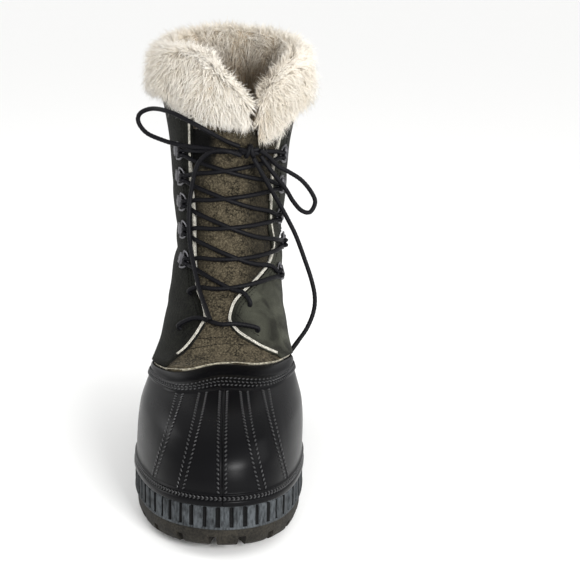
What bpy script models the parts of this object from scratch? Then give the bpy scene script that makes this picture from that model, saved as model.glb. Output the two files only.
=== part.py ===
"""Pac boot for the right foot: rubber lower, suede shaft, felt liner and pile cuff.

Metres, +Z up. The toe points to -Y, the inner side of the foot is +X, and the origin is
on the floor under the middle of the heel tread.
"""
import math

import bmesh
import bpy
import numpy as np
from mathutils import Matrix, Vector

# Driving sizes of the sole
FOOT_LENGTH = 0.312
BALL_WIDTH = 0.121
HEEL_BACK = 0.040
HEEL_HEIGHT = 0.028
BALL_HEIGHT = 0.018
TOE_HEIGHT = 0.0235
TOE_SPRING = 0.0105
ARCH_RISE = 0.007
BAND_HEIGHT = 0.017
LUG_DEPTH = 0.007
LUG_SLOT = 0.0055
LUG_REACH = 0.215 * BALL_WIDTH
LUG_OVERHANG = 0.004
OUTSOLE_PITCH = 0.0125
CUTTER_HEIGHT = 0.030
MIDDLE_GROOVE = (0.43, 0.82)
TREAD_BEVEL = 0.0025
RIB_PITCH = 0.0125
RIB_MARGIN = 0.0008
RIB_DEPTH = 0.0014

# Driving sizes of the upper
SHELL_HEIGHT = 0.102
SHAFT_HEIGHT = 0.285
RUBBER_WALL = 0.0030
FLANGE_WALL = 0.0018
RIM_HEIGHT = 0.009
RIM_STEP = 0.0012
TOP_BAND_HEIGHT = 0.0040
TOP_BAND_STEP = 0.0010
SEAM_STEP = 0.0008
EDGE_FADE = 0.0007
QUARTER_WALL = 0.0020
TONGUE_WALL = 0.0018
LINER_WALL = 0.0040
INSOLE_THICKNESS = 0.006
BACKSTAY_STEP = 0.0007
TONGUE_TOP = 0.262
LINER_TOP = 0.250

# Driving sizes of the pile cuff
CUFF_TOP = 0.332
CUFF_FRONT_TOP = 0.276
CUFF_DROP = 0.283
CUFF_OUTER_DROP = 0.258
CUFF_INNER_FRONT_DROP = 0.247
CUFF_INNER_DROP = 0.256
CUFF_HEADROOM = 0.002
CUFF_OUT = 0.0068
CUFF_IN = 0.0100
LOCK_DEPTH = 0.0028
CUFF_SPLIT = 0.0175
CUFF_SPLIT_WIDTH = 0.008
CUFF_CROWN = 0.012
CUFF_COLUMNS = 37
CUFF_ROWS = 10

# Clearance between neighbouring solids
CLEARANCE = 0.0003
SHEET_GAP = 0.0007
INSOLE_CLEARANCE = 0.0026
INSOLE_PITCH = 0.013

# Depths of the layers under the upper's own surface, which lies between quarters and tongue
TONGUE_DEPTH = SHEET_GAP / 2
FLANGE_DEPTH = TONGUE_DEPTH + TONGUE_WALL + SHEET_GAP
LINER_DEPTH = FLANGE_DEPTH + FLANGE_WALL + 3 * SHEET_GAP
QUARTER_LIFT = SHEET_GAP / 2
CUFF_OVER = QUARTER_LIFT + QUARTER_WALL + BACKSTAY_STEP + SHEET_GAP
CUFF_UNDER = TONGUE_DEPTH + TONGUE_WALL + 2 * SHEET_GAP

# Hardware and lace
LACE_DIAMETER = 0.0034
LACE_AIR = 0.0004
LACE_SAG = 0.0010
RING_WIRE = 0.0018
RING_WIDTH = 0.0130
RING_REACH = 0.0105
CLIP_THICKNESS = 0.0012
CLIP_LENGTH = 0.0100
CLIP_WIDTH = 0.0090
CLIP_BARREL = 0.0032
KNOT_RADII = (0.0072, 0.0052, 0.0058)
BAR_BEND = ((0.123, -0.165), (0.110, -0.033), (0.111, 0.066))
STRAND_SHARES = (0.14, 0.30, 0.50, 0.70, 0.86)
TIP_DIAMETER = 0.0042
TIP_LENGTH = 0.0150

# Stations along a section from its back end, 0, to its front end, 1
STATIONS = (0.0, 0.15, 0.42, 0.70, 0.88, 1.0)

# Sections of the upper. level: 0 at the sole, 1 at the rubber's top, 2 at the collar.
# front, back: ends of the section, from the heel, as shares of FOOT_LENGTH.
# the rest: half width at each station as a share of BALL_WIDTH, before sin() rounds it.
SECTIONS = (
    # level front   back    end    heel   waist  ball   toe    tip
    (0.00, 1.000,  0.000, 0.636, 0.475, 0.356, 0.545, 0.607, 0.686),
    (0.18, 1.000,  0.000, 0.634, 0.475, 0.356, 0.547, 0.607, 0.684),
    (0.40, 0.990, -0.001, 0.628, 0.470, 0.350, 0.546, 0.597, 0.684),
    (0.62, 0.960, -0.001, 0.615, 0.463, 0.341, 0.536, 0.578, 0.680),
    (0.80, 0.895,  0.002, 0.587, 0.446, 0.333, 0.502, 0.552, 0.650),
    (0.92, 0.790,  0.006, 0.548, 0.434, 0.325, 0.468, 0.530, 0.612),
    (1.00, 0.641,  0.008, 0.479, 0.422, 0.322, 0.440, 0.510, 0.551),
    (1.10, 0.560,  0.012, 0.446, 0.417, 0.322, 0.408, 0.458, 0.495),
    (1.22, 0.478,  0.014, 0.405, 0.400, 0.333, 0.366, 0.380, 0.410),
    (1.36, 0.422,  0.011, 0.375, 0.360, 0.333, 0.340, 0.350, 0.370),
    (1.55, 0.380, -0.004, 0.390, 0.372, 0.360, 0.362, 0.370, 0.385),
    (1.78, 0.352, -0.025, 0.410, 0.395, 0.385, 0.385, 0.390, 0.400),
    (2.00, 0.340, -0.045, 0.460, 0.455, 0.450, 0.450, 0.450, 0.455),
)

# Sideways shift of the last's centre line at each station, as a share of BALL_WIDTH
CENTRE_SHIFT = (0.000, 0.000, 0.000, -0.022, -0.004, 0.018)

# Outsole's top edge: station from the heel, height out of the named heights
OUTSOLE_TOP = (
    (0.00, HEEL_HEIGHT + 0.0015),
    (0.12, HEEL_HEIGHT),
    (0.28, HEEL_HEIGHT * 0.93),
    (0.52, BALL_HEIGHT * 1.08),
    (0.70, BALL_HEIGHT),
    (0.88, (BALL_HEIGHT + TOE_HEIGHT) * 0.48),
    (1.00, TOE_HEIGHT),
)

# Height of the tread along the foot
TREAD = (
    (0.00, 0.0),
    (0.270, 0.0),
    (0.285, ARCH_RISE),
    (0.420, ARCH_RISE),
    (0.470, 0.0),
    (0.740, 0.0),
    (0.88, TOE_SPRING * 0.36),
    (1.00, TOE_SPRING),
)

# Quarters' front edges: height as a share of SHELL_HEIGHT to SHAFT_HEIGHT, then the edge's
# distance from the middle on the outer and on the inner side, as shares of BALL_WIDTH
THROAT = (
    # height outer  inner
    (-0.05, 0.480, 0.480),
    (0.015, 0.385, 0.395),
    (0.06, 0.290, 0.260),
    (0.10, 0.190, 0.130),
    (0.135, 0.125, 0.050),
    (0.18, 0.140, 0.022),
    (0.225, 0.175, 0.085),
    (0.27, 0.185, 0.190),
    (0.32, 0.195, 0.265),
    (0.37, 0.200, 0.285),
    (0.50, 0.205, 0.262),
    (0.68, 0.235, 0.270),
    (0.85, 0.300, 0.320),
    (1.05, 0.370, 0.370),
)

# Lace rings on the outer and on the inner side: height as a share of the way from
# SHELL_HEIGHT to SHAFT_HEIGHT, distance from the middle as a share of BALL_WIDTH
RINGS_OUTER = ((0.317, 0.262), (0.440, 0.270), (0.555, 0.280), (0.662, 0.292), (0.770, 0.305))
RINGS_INNER = ((0.257, 0.318), (0.365, 0.330), (0.497, 0.312), (0.628, 0.320), (0.760, 0.335))

# Punched lace holes below the rings, the same way
HOLES_OUTER = ((0.098, 0.270), (0.205, 0.215))
HOLES_INNER = ((0.096, 0.185), (0.176, 0.140))

# Where the knot sits, and the cords' routes, in metres
KNOT = (0.0160, -0.0755, 0.2475)
LOOP_OUTER = (
    (0.0086, -0.0757, 0.2512), (-0.002, -0.0775, 0.2556), (-0.0155, -0.0852, 0.2640),
    (-0.0295, -0.0838, 0.2712), (-0.0450, -0.0750, 0.2768), (-0.0590, -0.0605, 0.2772),
    (-0.069, -0.0555, 0.2730), (-0.071, -0.0540, 0.2660), (-0.065, -0.0560, 0.2580),
    (-0.054, -0.0600, 0.2535), (-0.038, -0.0655, 0.2500), (-0.014, -0.0710, 0.2484),
    (0.0081, -0.0740, 0.2465),
)
LOOP_INNER = (
    (0.0245, -0.0765, 0.2485), (0.0305, -0.0715, 0.2435), (0.038, -0.0650, 0.2350),
    (0.048, -0.0610, 0.2290), (0.058, -0.0580, 0.2220), (0.066, -0.0560, 0.2120),
    (0.069, -0.0560, 0.2040), (0.065, -0.0575, 0.1965), (0.058, -0.0610, 0.1985),
    (0.051, -0.0655, 0.2070), (0.0445, -0.0695, 0.2180), (0.0345, -0.0735, 0.2310),
    (0.0250, -0.0745, 0.2440),
)
END_OUTER = (
    (0.0099, -0.0787, 0.2447), (0.0010, -0.0815, 0.2480), (-0.0090, -0.0805, 0.2485),
    (-0.0190, -0.0780, 0.2430), (-0.0250, -0.0765, 0.2330), (-0.0285, -0.0750, 0.2160),
    (-0.0300, -0.0771, 0.2010), (-0.0300, -0.0815, 0.1850), (-0.0280, -0.0890, 0.1710),
    (-0.0235, -0.1030, 0.1550), (-0.0195, -0.1160, 0.1445), (-0.0160, -0.1255, 0.1380),
)
END_INNER = (
    (0.0196, -0.0786, 0.2426), (0.0235, -0.0795, 0.2360), (0.0300, -0.0770, 0.2240),
    (0.0400, -0.0710, 0.2060), (0.0470, -0.0680, 0.1930), (0.0540, -0.0670, 0.1790),
    (0.0610, -0.0680, 0.1610), (0.0670, -0.0700, 0.1440), (0.0700, -0.0720, 0.1300),
    (0.0690, -0.0740, 0.1180), (0.0640, -0.0780, 0.1060), (0.0570, -0.0810, 0.0960),
)

# The pile's top edge: turn from the toe, share of the way from CUFF_FRONT_TOP to CUFF_TOP
CUFF_RISE = (
    (-0.36, 0.20),
    (-0.15, 0.39),
    (0.10, 0.59),
    (0.35, 0.79),
    (0.65, 0.84),
    (0.95, 0.82),
    (1.57, 0.76),
    (2.20, 0.90),
    (3.14, 1.00),
    (4.08, 0.90),
    (4.71, 0.76),
    (5.33, 0.64),
    (5.63, 0.50),
    (5.83, 0.32),
    (5.95, 0.24),
)

# Depth of the throat's cut, from in front of the shaft to its middle
THROAT_REACH = (-0.200, -0.015)

# Turns from the toe of the five moulded seams, half a seam, and of the plain side's start
SEAM_TURNS = (-0.92, -0.46, 0.0, 0.46, 0.92)
SEAM_HALF_TURN = 0.085
SIDE_TURN = 1.28
SIDE_COLUMNS = 17
BACKSTAY_TURN = 2.4 * (math.pi - SIDE_TURN) / (SIDE_COLUMNS - 1)
BACKSTAY_FADE = BACKSTAY_TURN * 0.12

# Levels of the rubber lower's rows between its rim and its top band
SHELL_LEVELS = (0.40, 0.60, 0.76, 0.86)

# Levels where the rubber's top ledge ends, where the suede starts, and its rows above
LEDGE_LEVEL = 1.004
SHEET_START = 1.010
SHEET_LEVELS = (1.03, 1.06, 1.10, 1.16, 1.22, 1.29, 1.36, 1.46, 1.60, 1.78)
FLANGE_LEVELS = (SHEET_START, *SHEET_LEVELS[:2])

COLLECTION = bpy.data.collections.new("pac_boot")
CUTTERS = bpy.data.collections.new("cutters")


def lerp(start, end, share):
    return start + (end - start) * share


def smooth_curve(xs, ys, x):
    """Monotone cubic through the table's rows, flat where the table turns round."""
    if x <= xs[0]:
        return ys[0]
    if x >= xs[-1]:
        return ys[-1]
    steps = [xs[i + 1] - xs[i] for i in range(len(xs) - 1)]
    rises = [(ys[i + 1] - ys[i]) / steps[i] for i in range(len(steps))]

    def slope(i):
        if i == 0:
            return rises[0]
        if i == len(xs) - 1:
            return rises[-1]
        if rises[i - 1] * rises[i] <= 0:
            return 0.0
        before, after = steps[i - 1], steps[i]
        weight = (2 * after + before, after + 2 * before)
        return sum(weight) / (weight[0] / rises[i - 1] + weight[1] / rises[i])

    k = max(i for i in range(len(steps)) if xs[i] <= x)
    u = (x - xs[k]) / steps[k]
    start = (1 + 2 * u) * (1 - u) ** 2 * ys[k] + u * (1 - u) ** 2 * steps[k] * slope(k)
    end = u * u * (3 - 2 * u) * ys[k + 1] + u * u * (u - 1) * steps[k] * slope(k + 1)
    return start + end


def table_curve(table, x, column=1):
    return smooth_curve([row[0] for row in table], [row[column] for row in table], x)


def straight_curve(table, x, column=1):
    return float(np.interp(x, [row[0] for row in table], [row[column] for row in table]))


def foot_share(y):
    """How far y lies from the heel's back towards the toe."""
    return (HEEL_BACK - y) / FOOT_LENGTH


def outsole_top(y):
    return table_curve(OUTSOLE_TOP, foot_share(y))


def band_top(y):
    return outsole_top(y) + BAND_HEIGHT


def section_height(level):
    """Height of a section over the toe: band top at 0, SHELL_HEIGHT at 1, collar at 2."""
    toe_floor = TOE_HEIGHT + BAND_HEIGHT
    levels = [row[0] for row in SECTIONS]
    heights = []
    for at in levels:
        if at <= 1:
            heights.append(lerp(toe_floor, SHELL_HEIGHT, at))
        else:
            heights.append(lerp(SHELL_HEIGHT, SHAFT_HEIGHT, at - 1))
    return smooth_curve(levels, heights, level)


def upper_point(level, turn):
    """Point of the last's outer surface. turn is 0 at the heel and pi at the toe."""
    row = [table_curve(SECTIONS, level, column) for column in range(1, 9)]
    front, back, widths = row[0], row[1], row[2:]
    along = (1 - math.cos(turn)) / 2
    y = HEEL_BACK - lerp(back, front, along) * FOOT_LENGTH
    half = smooth_curve(STATIONS, widths, along) * BALL_WIDTH
    fade = max(0.0, 1 - level / 1.6)
    shift = smooth_curve(STATIONS, CENTRE_SHIFT, along) * BALL_WIDTH * fade
    x = shift + half * math.sin(turn)
    toe_floor = TOE_HEIGHT + BAND_HEIGHT
    rise = band_top(y) + CLEARANCE - toe_floor
    z = section_height(level) + rise * max(0.0, 1 - level) ** 1.3
    return Vector((x, y, z))


def upper_normal(level, turn):
    """Outward direction of the surface, from its two tangents."""
    small = 0.004
    across = upper_point(level, turn + small) - upper_point(level, turn - small)
    upward = upper_point(min(level + small, 2.0), turn) - upper_point(max(level - small, 0.0), turn)
    return upward.cross(across).normalized()


def upper_offset(level, turn, depth):
    """Point at a depth outside, or inside where it is negative, of the surface."""
    return upper_point(level, turn) + upper_normal(level, turn) * depth


def level_of(z):
    """Level of a height on the shaft."""
    low, high = 1.0, 2.0
    for _ in range(24):
        middle = (low + high) / 2
        if section_height(middle) < z:
            low = middle
        else:
            high = middle
    return (low + high) / 2


def turn_at(level, x):
    """Turn on the front half where the surface is x to the inner side of the middle."""
    low, high = math.pi * 0.5, math.pi * 1.5
    for _ in range(30):
        middle = (low + high) / 2
        if upper_point(level, middle).x > x:
            low = middle
        else:
            high = middle
    return (low + high) / 2


def spread(start, end, count):
    return [lerp(start, end, i / (count - 1)) for i in range(count)]


def material(name, colour, roughness, metallic=0.0):
    made = bpy.data.materials.new(name)
    made.use_nodes = True
    shader = made.node_tree.nodes["Principled BSDF"]
    shader.inputs["Base Color"].default_value = (*colour, 1.0)
    shader.inputs["Roughness"].default_value = roughness
    shader.inputs["Metallic"].default_value = metallic
    made.diffuse_color = (*colour, 1.0)
    return made


def add_mesh(name, mesh_data, finish, collection=COLLECTION):
    """Put a bmesh in the scene as a named object with its faces pointing out."""
    bmesh.ops.recalc_face_normals(mesh_data, faces=mesh_data.faces)
    if mesh_data.calc_volume(signed=True) < 0:
        bmesh.ops.reverse_faces(mesh_data, faces=mesh_data.faces)
    mesh = bpy.data.meshes.new(name)
    mesh_data.to_mesh(mesh)
    mesh_data.free()
    mesh.shade_smooth()
    mesh.set_sharp_from_angle(angle=math.radians(35))
    if finish:
        mesh.materials.append(finish)
    made = bpy.data.objects.new(name, mesh)
    collection.objects.link(made)
    return made


def walled_sheet(name, outer, inner, finish, ring=False):
    """Closed solid between two grids of points, open or joined round in its columns.

    The two grids of a ring may have different numbers of rows.
    """
    mesh = bmesh.new()
    grids = [[[mesh.verts.new(p) for p in row] for row in grid] for grid in (outer, inner)]
    rows, columns = len(outer), len(outer[0])
    last = columns if ring else columns - 1
    for grid, flip in ((grids[0], False), (grids[1], True)):
        for r in range(len(grid) - 1):
            for c in range(last):
                n = (c + 1) % columns
                quad = [grid[r][c], grid[r][n], grid[r + 1][n], grid[r + 1][c]]
                mesh.faces.new(quad[::-1] if flip else quad)
    for r, flip in ((0, True), (-1, False)):
        for c in range(last):
            n = (c + 1) % columns
            quad = [grids[0][r][c], grids[0][r][n], grids[1][r][n], grids[1][r][c]]
            mesh.faces.new(quad[::-1] if flip else quad)
    if not ring:
        for c, flip in ((0, False), (columns - 1, True)):
            for r in range(rows - 1):
                quad = [grids[0][r][c], grids[0][r + 1][c], grids[1][r + 1][c], grids[1][r][c]]
                mesh.faces.new(quad[::-1] if flip else quad)
    return add_mesh(name, mesh, finish)


def slab(name, half_turns, rows, finish):
    """Solid with the sole's outline. Each row is a height and an outset for a column."""
    turns = half_turns + [2 * math.pi - t for t in half_turns[-2:0:-1]]
    count, half = len(turns), len(half_turns)
    mesh = bmesh.new()
    rings = []
    for height, outset in rows:
        ring = []
        for i, turn in enumerate(turns):
            here = upper_point(0.0, turn)
            ahead = upper_point(0.0, turn + 0.002) - upper_point(0.0, turn - 0.002)
            normal = Vector((-ahead.y, ahead.x, 0.0)).normalized()
            column = i if i < half else count - i
            point = here + normal * outset(column)
            ring.append(mesh.verts.new((point.x, point.y, height(here.y))))
        rings.append(ring)
    for low, high in zip(rings, rings[1:]):
        for i in range(count):
            n = (i + 1) % count
            mesh.faces.new((low[i], low[n], high[n], high[i]))
    for ring, flip in ((rings[0], True), (rings[-1], False)):
        for i in range(half - 1):
            corners = [ring[i], ring[i + 1], ring[-i - 1], ring[-i]]
            if i == 0:
                corners = [ring[0], ring[1], ring[-1]]
            if i == half - 2:
                corners = [ring[i], ring[i + 1], ring[-i]]
            mesh.faces.new(corners[::-1] if flip else corners)
    return add_mesh(name, mesh, finish)


def even_turns(pitch):
    """Turns from heel to toe about one pitch apart along the outline."""
    fine = spread(0.0, math.pi, 400)
    points = [upper_point(0.0, t) for t in fine]
    lengths = [0.0]
    for a, b in zip(points, points[1:]):
        lengths.append(lengths[-1] + math.hypot(b.x - a.x, b.y - a.y))
    count = round(lengths[-1] / pitch)
    return [float(np.interp(lengths[-1] * i / count, lengths, fine)) for i in range(count + 1)]


def turn_of_share(share):
    return math.acos(1 - 2 * share)


def cut(body, cutter):
    modifier = body.modifiers.new(cutter.name, "BOOLEAN")
    modifier.operation = "DIFFERENCE"
    modifier.solver = "EXACT"
    modifier.object = cutter


def hide_cutter(cutter):
    cutter.hide_render = True
    cutter.display_type = "WIRE"


def bars_mesh(name, boxes):
    """Cutter made of boxes. Each box is a centre, a size and a turn about Z."""
    mesh = bmesh.new()
    for centre, size, angle in boxes:
        place = Matrix.Translation(centre) @ Matrix.Rotation(angle, 4, "Z") @ Matrix.Diagonal((*size, 1))
        bmesh.ops.create_cube(mesh, size=1.0, matrix=place)
    cutter = add_mesh(name, mesh, None, CUTTERS)
    hide_cutter(cutter)
    return cutter


def build_outsole(finish):
    """Lugged tread with its heel breast, arch and toe spring."""
    turns = even_turns(OUTSOLE_PITCH)
    turns += [turn_of_share(row[0]) for row in TREAD[1:5]]
    turns = sorted(turns)

    def tread(y):
        return straight_curve(TREAD, foot_share(y))

    outsole = slab("outsole", turns, (
        (tread, lambda column: -2 * TREAD_BEVEL),
        (lambda y: tread(y) + TREAD_BEVEL, lambda column: -TREAD_BEVEL),
        (lambda y: outsole_top(y) - CLEARANCE, lambda column: 0.0),
    ), finish)

    # Slots between the lugs, set square to the sole's edge
    slot_turns = [0.16, 0.48, 0.86, 1.60, 1.78, 1.97, 2.17, 2.40, 2.68, 2.97]
    boxes = []
    for side, lean in ((1, 0.0), (-1, 0.09)):
        for turn in slot_turns:
            place = side * (turn + lean)
            here = upper_point(0.0, place)
            ahead = upper_point(0.0, place + 0.01) - upper_point(0.0, place - 0.01)
            normal = Vector((-ahead.y, ahead.x, 0.0)).normalized()
            middle = here - normal * (LUG_REACH / 2 - LUG_OVERHANG)
            top = tread(here.y) + LUG_DEPTH
            size = (LUG_REACH + 0.008, LUG_SLOT, CUTTER_HEIGHT)
            centre = Vector((middle.x, middle.y, top - CUTTER_HEIGHT / 2))
            boxes.append((centre, size, math.atan2(normal.y, normal.x)))
    cut(outsole, bars_mesh("lug_slots", boxes))

    # Groove down the middle of the forefoot
    first, last = MIDDLE_GROOVE
    length = (last - first) * FOOT_LENGTH
    y = HEEL_BACK - (first + last) / 2 * FOOT_LENGTH
    groove = (Vector((0.0, y, LUG_DEPTH - CUTTER_HEIGHT / 2)), (LUG_SLOT, length, CUTTER_HEIGHT), 0.0)
    cut(outsole, bars_mesh("middle_groove", [groove]))
    return outsole


def build_midsole(finish):
    """Slab over the tread. Upright ribs run round its side."""
    edges = even_turns(RIB_PITCH)
    turns = [0.0]
    depths = [RIB_DEPTH]
    for start, end in zip(edges, edges[1:]):
        for share, depth in ((0.18, 0.0), (0.82, 0.0), (1.0, RIB_DEPTH)):
            turns.append(lerp(start, end, share))
            depths.append(depth)
    plain = RIM_STEP - RIB_DEPTH
    return slab("midsole", turns, (
        (outsole_top, lambda column: plain),
        (lambda y: outsole_top(y) + RIB_MARGIN, lambda column: RIM_STEP - depths[column]),
        (lambda y: band_top(y) - RIB_MARGIN, lambda column: RIM_STEP - depths[column]),
        (band_top, lambda column: plain),
    ), finish)


def build_insole(finish):
    """Felt footbed inside the liner."""
    inset = LINER_DEPTH + LINER_WALL + INSOLE_CLEARANCE
    return slab("insole", even_turns(INSOLE_PITCH), (
        (lambda y: band_top(y) + CLEARANCE, lambda column: -inset),
        (lambda y: band_top(y) + INSOLE_THICKNESS, lambda column: -inset),
    ), finish)


def shell_columns():
    """Turns round the rubber lower, with how far each stands in a moulded seam."""
    columns = []
    for middle in SEAM_TURNS:
        for offset, raised in ((-1.25, 0.0), (-1.0, 1.0), (1.0, 1.0), (1.25, 0.0)):
            columns.append((math.pi + middle + offset * SEAM_HALF_TURN, raised))
    for first, second in zip(SEAM_TURNS, SEAM_TURNS[1:]):
        columns.append((math.pi + (first + second) / 2, 0.0))
    for turn in spread(math.pi + SIDE_TURN, 3 * math.pi - SIDE_TURN, SIDE_COLUMNS):
        columns.append((turn, 0.0))
    return sorted(columns)


def layer_turns():
    """Columns that the layers inside and over the rubber lower share with it."""
    return [turn for turn, raised in shell_columns() if not raised]


def build_rubber_shell(finish):
    """Moulded rubber lower: foxing rim, fanned seams, top band and stitching flange."""
    columns = shell_columns()
    shell_rise = SHELL_HEIGHT - band_top(HEEL_BACK - 0.7 * FOOT_LENGTH)
    rim = RIM_HEIGHT / shell_rise
    band = 1 - TOP_BAND_HEIGHT / shell_rise
    fade = EDGE_FADE / shell_rise
    outer_rows = (
        (0.00, RIM_STEP, 0.0),
        (rim, RIM_STEP, 0.0),
        (rim + 2 * fade, 0.0, 0.6),
        *((level, 0.0, 1.0) for level in SHELL_LEVELS),
        (band - fade, 0.0, 1.0),
        (band, TOP_BAND_STEP, 0.0),
        (1.00, TOP_BAND_STEP, 0.0),
        (LEDGE_LEVEL, -FLANGE_DEPTH, 0.0),
        *((level, -FLANGE_DEPTH, 0.0) for level in FLANGE_LEVELS),
    )
    inner_wall = FLANGE_DEPTH + FLANGE_WALL
    inner_rows = (
        (0.00, RUBBER_WALL),
        *((level, RUBBER_WALL) for level in SHELL_LEVELS),
        (band, inner_wall),
        (1.00, inner_wall),
        *((level, inner_wall) for level in FLANGE_LEVELS),
    )
    outer = []
    for level, step, seam in outer_rows:
        row = [upper_offset(level, turn, step + seam * raised * SEAM_STEP) for turn, raised in columns]
        outer.append(row)
    inner = [[upper_offset(level, turn, -wall) for turn, raised in columns] for level, wall in inner_rows]
    return walled_sheet("rubber_shell", outer, inner, finish, ring=True)


def collar_level(turn):
    """Level of the shaft's top edge, which dips towards the front."""
    front = max(0.0, -math.cos(turn))
    return 2.0 - 0.14 * front ** 1.5


def throat_cutter():
    """Upright prism with the outline of the throat as it is seen from the front."""
    def corner(row, column, side):
        height = lerp(SHELL_HEIGHT, SHAFT_HEIGHT, row[0])
        return side * row[column] * BALL_WIDTH, height

    outline = [corner(row, 1, -1) for row in THROAT] + [corner(row, 2, 1) for row in reversed(THROAT)]
    mesh = bmesh.new()
    ends = [[mesh.verts.new((x, y, z)) for x, z in outline] for y in THROAT_REACH]
    mesh.faces.new(ends[0])
    mesh.faces.new(ends[1][::-1])
    for i in range(len(outline)):
        n = (i + 1) % len(outline)
        mesh.faces.new((ends[0][n], ends[0][i], ends[1][i], ends[1][n]))
    cutter = add_mesh("throat", mesh, None, CUTTERS)
    hide_cutter(cutter)
    return cutter


def build_shaft(finish):
    """Suede quarters: one wall all round, with the throat cut out of its front."""
    turns = layer_turns()
    for stay in (BACKSTAY_TURN, BACKSTAY_TURN + BACKSTAY_FADE):
        turns += [2 * math.pi - stay, 2 * math.pi + stay]
    turns = [(turn, BACKSTAY_STEP * (abs(turn - 2 * math.pi) < BACKSTAY_TURN + BACKSTAY_FADE / 2))
             for turn in sorted(turns)]
    levels = [SHEET_START, *SHEET_LEVELS, 2.0]
    outer, inner = [], []
    for level in levels:
        row_out, row_in = [], []
        for turn, step in turns:
            here = level if level < 2.0 else collar_level(turn)
            row_out.append(upper_offset(here, turn, QUARTER_LIFT + QUARTER_WALL + step))
            row_in.append(upper_offset(here, turn, QUARTER_LIFT))
        outer.append(row_out)
        inner.append(row_in)
    shaft = walled_sheet("shaft", outer, inner, finish, ring=True)
    cut(shaft, throat_cutter())
    return shaft


def build_tongue(finish):
    """Suede vamp and tongue in one piece, under the quarters' edges."""
    turns = [turn for turn in layer_turns() if abs(turn - math.pi) < SIDE_TURN + 0.01]
    levels = [SHEET_START, *SHEET_LEVELS, level_of(TONGUE_TOP)]
    outer = [[upper_offset(level, turn, -TONGUE_DEPTH) for turn in turns] for level in levels]
    under = -TONGUE_DEPTH - TONGUE_WALL
    inner = [[upper_offset(level, turn, under) for turn in turns] for level in levels]
    return walled_sheet("tongue", outer, inner, finish)


def build_liner(finish):
    """Felt inner boot, open at the collar and over the insole."""
    top = level_of(LINER_TOP)
    levels = [0.0, SHELL_LEVELS[1], *SHELL_LEVELS[2:], 0.93, 1.0, *SHEET_LEVELS[1::2], top]
    turns = layer_turns()
    outer = [[upper_offset(level, turn, -LINER_DEPTH) for turn in turns] for level in levels]
    inner = [[upper_offset(level, turn, -LINER_DEPTH - LINER_WALL) for turn in turns] for level in levels]
    return walled_sheet("felt_liner", outer, inner, finish, ring=True)


def cuff_frontness(turn):
    """0 at the sides and back, rising to 1 at the front opening."""
    share = (-math.cos(turn) - 0.05) / 0.85
    share = min(1.0, max(0.0, share))
    return share * share * (3 - 2 * share)


def collar_point(z, turn, depth):
    """Point at a height, a distance out from the shaft, which runs on straight above."""
    level = level_of(min(z, SHAFT_HEIGHT))
    base = upper_point(level, turn)
    normal = upper_normal(level, turn)
    outward = Vector((normal.x, normal.y, 0.0)).normalized()
    return Vector((base.x, base.y, z)) + outward * depth


def build_cuff(finish):
    """Pile cuff turned down over the collar, with its locks and its open front."""
    gap = CUFF_SPLIT_WIDTH / 2
    level = level_of(CUFF_FRONT_TOP - CUFF_CROWN)
    start = turn_at(level, CUFF_SPLIT - gap)
    end = turn_at(level, CUFF_SPLIT + gap) + 2 * math.pi
    columns, arc = CUFF_COLUMNS, CUFF_ROWS
    outer, inner = [[] for _ in range(arc)], [[] for _ in range(arc)]
    for i, turn in enumerate(spread(start, end, columns)):
        front = cuff_frontness(turn)
        top = lerp(CUFF_FRONT_TOP, CUFF_TOP, table_curve(CUFF_RISE, turn - math.pi))
        front_drop = CUFF_OUTER_DROP if turn < 2 * math.pi else CUFF_INNER_FRONT_DROP
        drop = lerp(CUFF_DROP, front_drop, front)
        edge = min(i, columns - 1 - i) / 5
        full = math.sin(min(1.0, 0.25 + 0.75 * edge) * math.pi / 2)
        sheet_top = max(section_height(collar_level(turn)), TONGUE_TOP)
        slot_top = min(sheet_top + CUFF_HEADROOM, top - CUFF_HEADROOM)
        crown = top - CUFF_CROWN
        for j in range(arc):
            share = j / (arc - 1)
            angle = math.pi * (share * 1.3 - 0.15)
            out = math.cos(angle)
            reach = CUFF_OUT if out > 0 else CUFF_IN
            if share < 0.5:
                z = lerp(drop, crown, min(1.0, share / 0.38))
            else:
                z = lerp(CUFF_INNER_DROP, crown, min(1.0, (1 - share) / 0.38))
            rise = max(0.0, math.sin(angle)) * (top - crown)
            lump = LOCK_DEPTH * (0.5 - ((i + j) % 2)) * (0 < j < arc - 1)
            width = out * reach * full
            over = CUFF_OVER if out > 0 else -CUFF_UNDER
            depth = over * abs(out) + width + lump * math.copysign(1, out)
            outer[j].append(collar_point(z + rise * full + lump * 0.3, turn, depth))
            depth = CUFF_OVER if share < 0.5 else -CUFF_UNDER
            if share < 0.42:
                slot_z = lerp(drop, slot_top, share / 0.42)
            elif share > 0.58:
                slot_z = lerp(CUFF_INNER_DROP, slot_top, (1 - share) / 0.42)
            else:
                slot_z = slot_top
                depth = lerp(CUFF_OVER, -CUFF_UNDER, (share - 0.42) / 0.16)
            inner[j].append(collar_point(slot_z, turn, depth))
    return walled_sheet("fur_cuff", outer, inner, finish)


def on_upper(height, x, depth):
    """Point of the upper at a height share, x to the inner side, and a depth off it."""
    level = level_of(lerp(SHELL_HEIGHT, SHAFT_HEIGHT, height))
    return upper_offset(level, turn_at(level, x), depth)


def frame_on_upper(height, x, towards):
    """Place on the upper with its axes: towards the throat, upwards, and out."""
    level = level_of(lerp(SHELL_HEIGHT, SHAFT_HEIGHT, height))
    turn = turn_at(level, x)
    out = upper_normal(level, turn)
    step = 0.01 * towards
    along = (upper_point(level, turn + step) - upper_point(level, turn - step)).normalized()
    along = (along - out * along.dot(out)).normalized()
    up = out.cross(along)
    origin = upper_offset(level, turn, QUARTER_LIFT + QUARTER_WALL + 2 * CLEARANCE)
    rotation = Matrix((along, up, out)).transposed().to_4x4()
    return Matrix.Translation(origin) @ rotation


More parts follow.
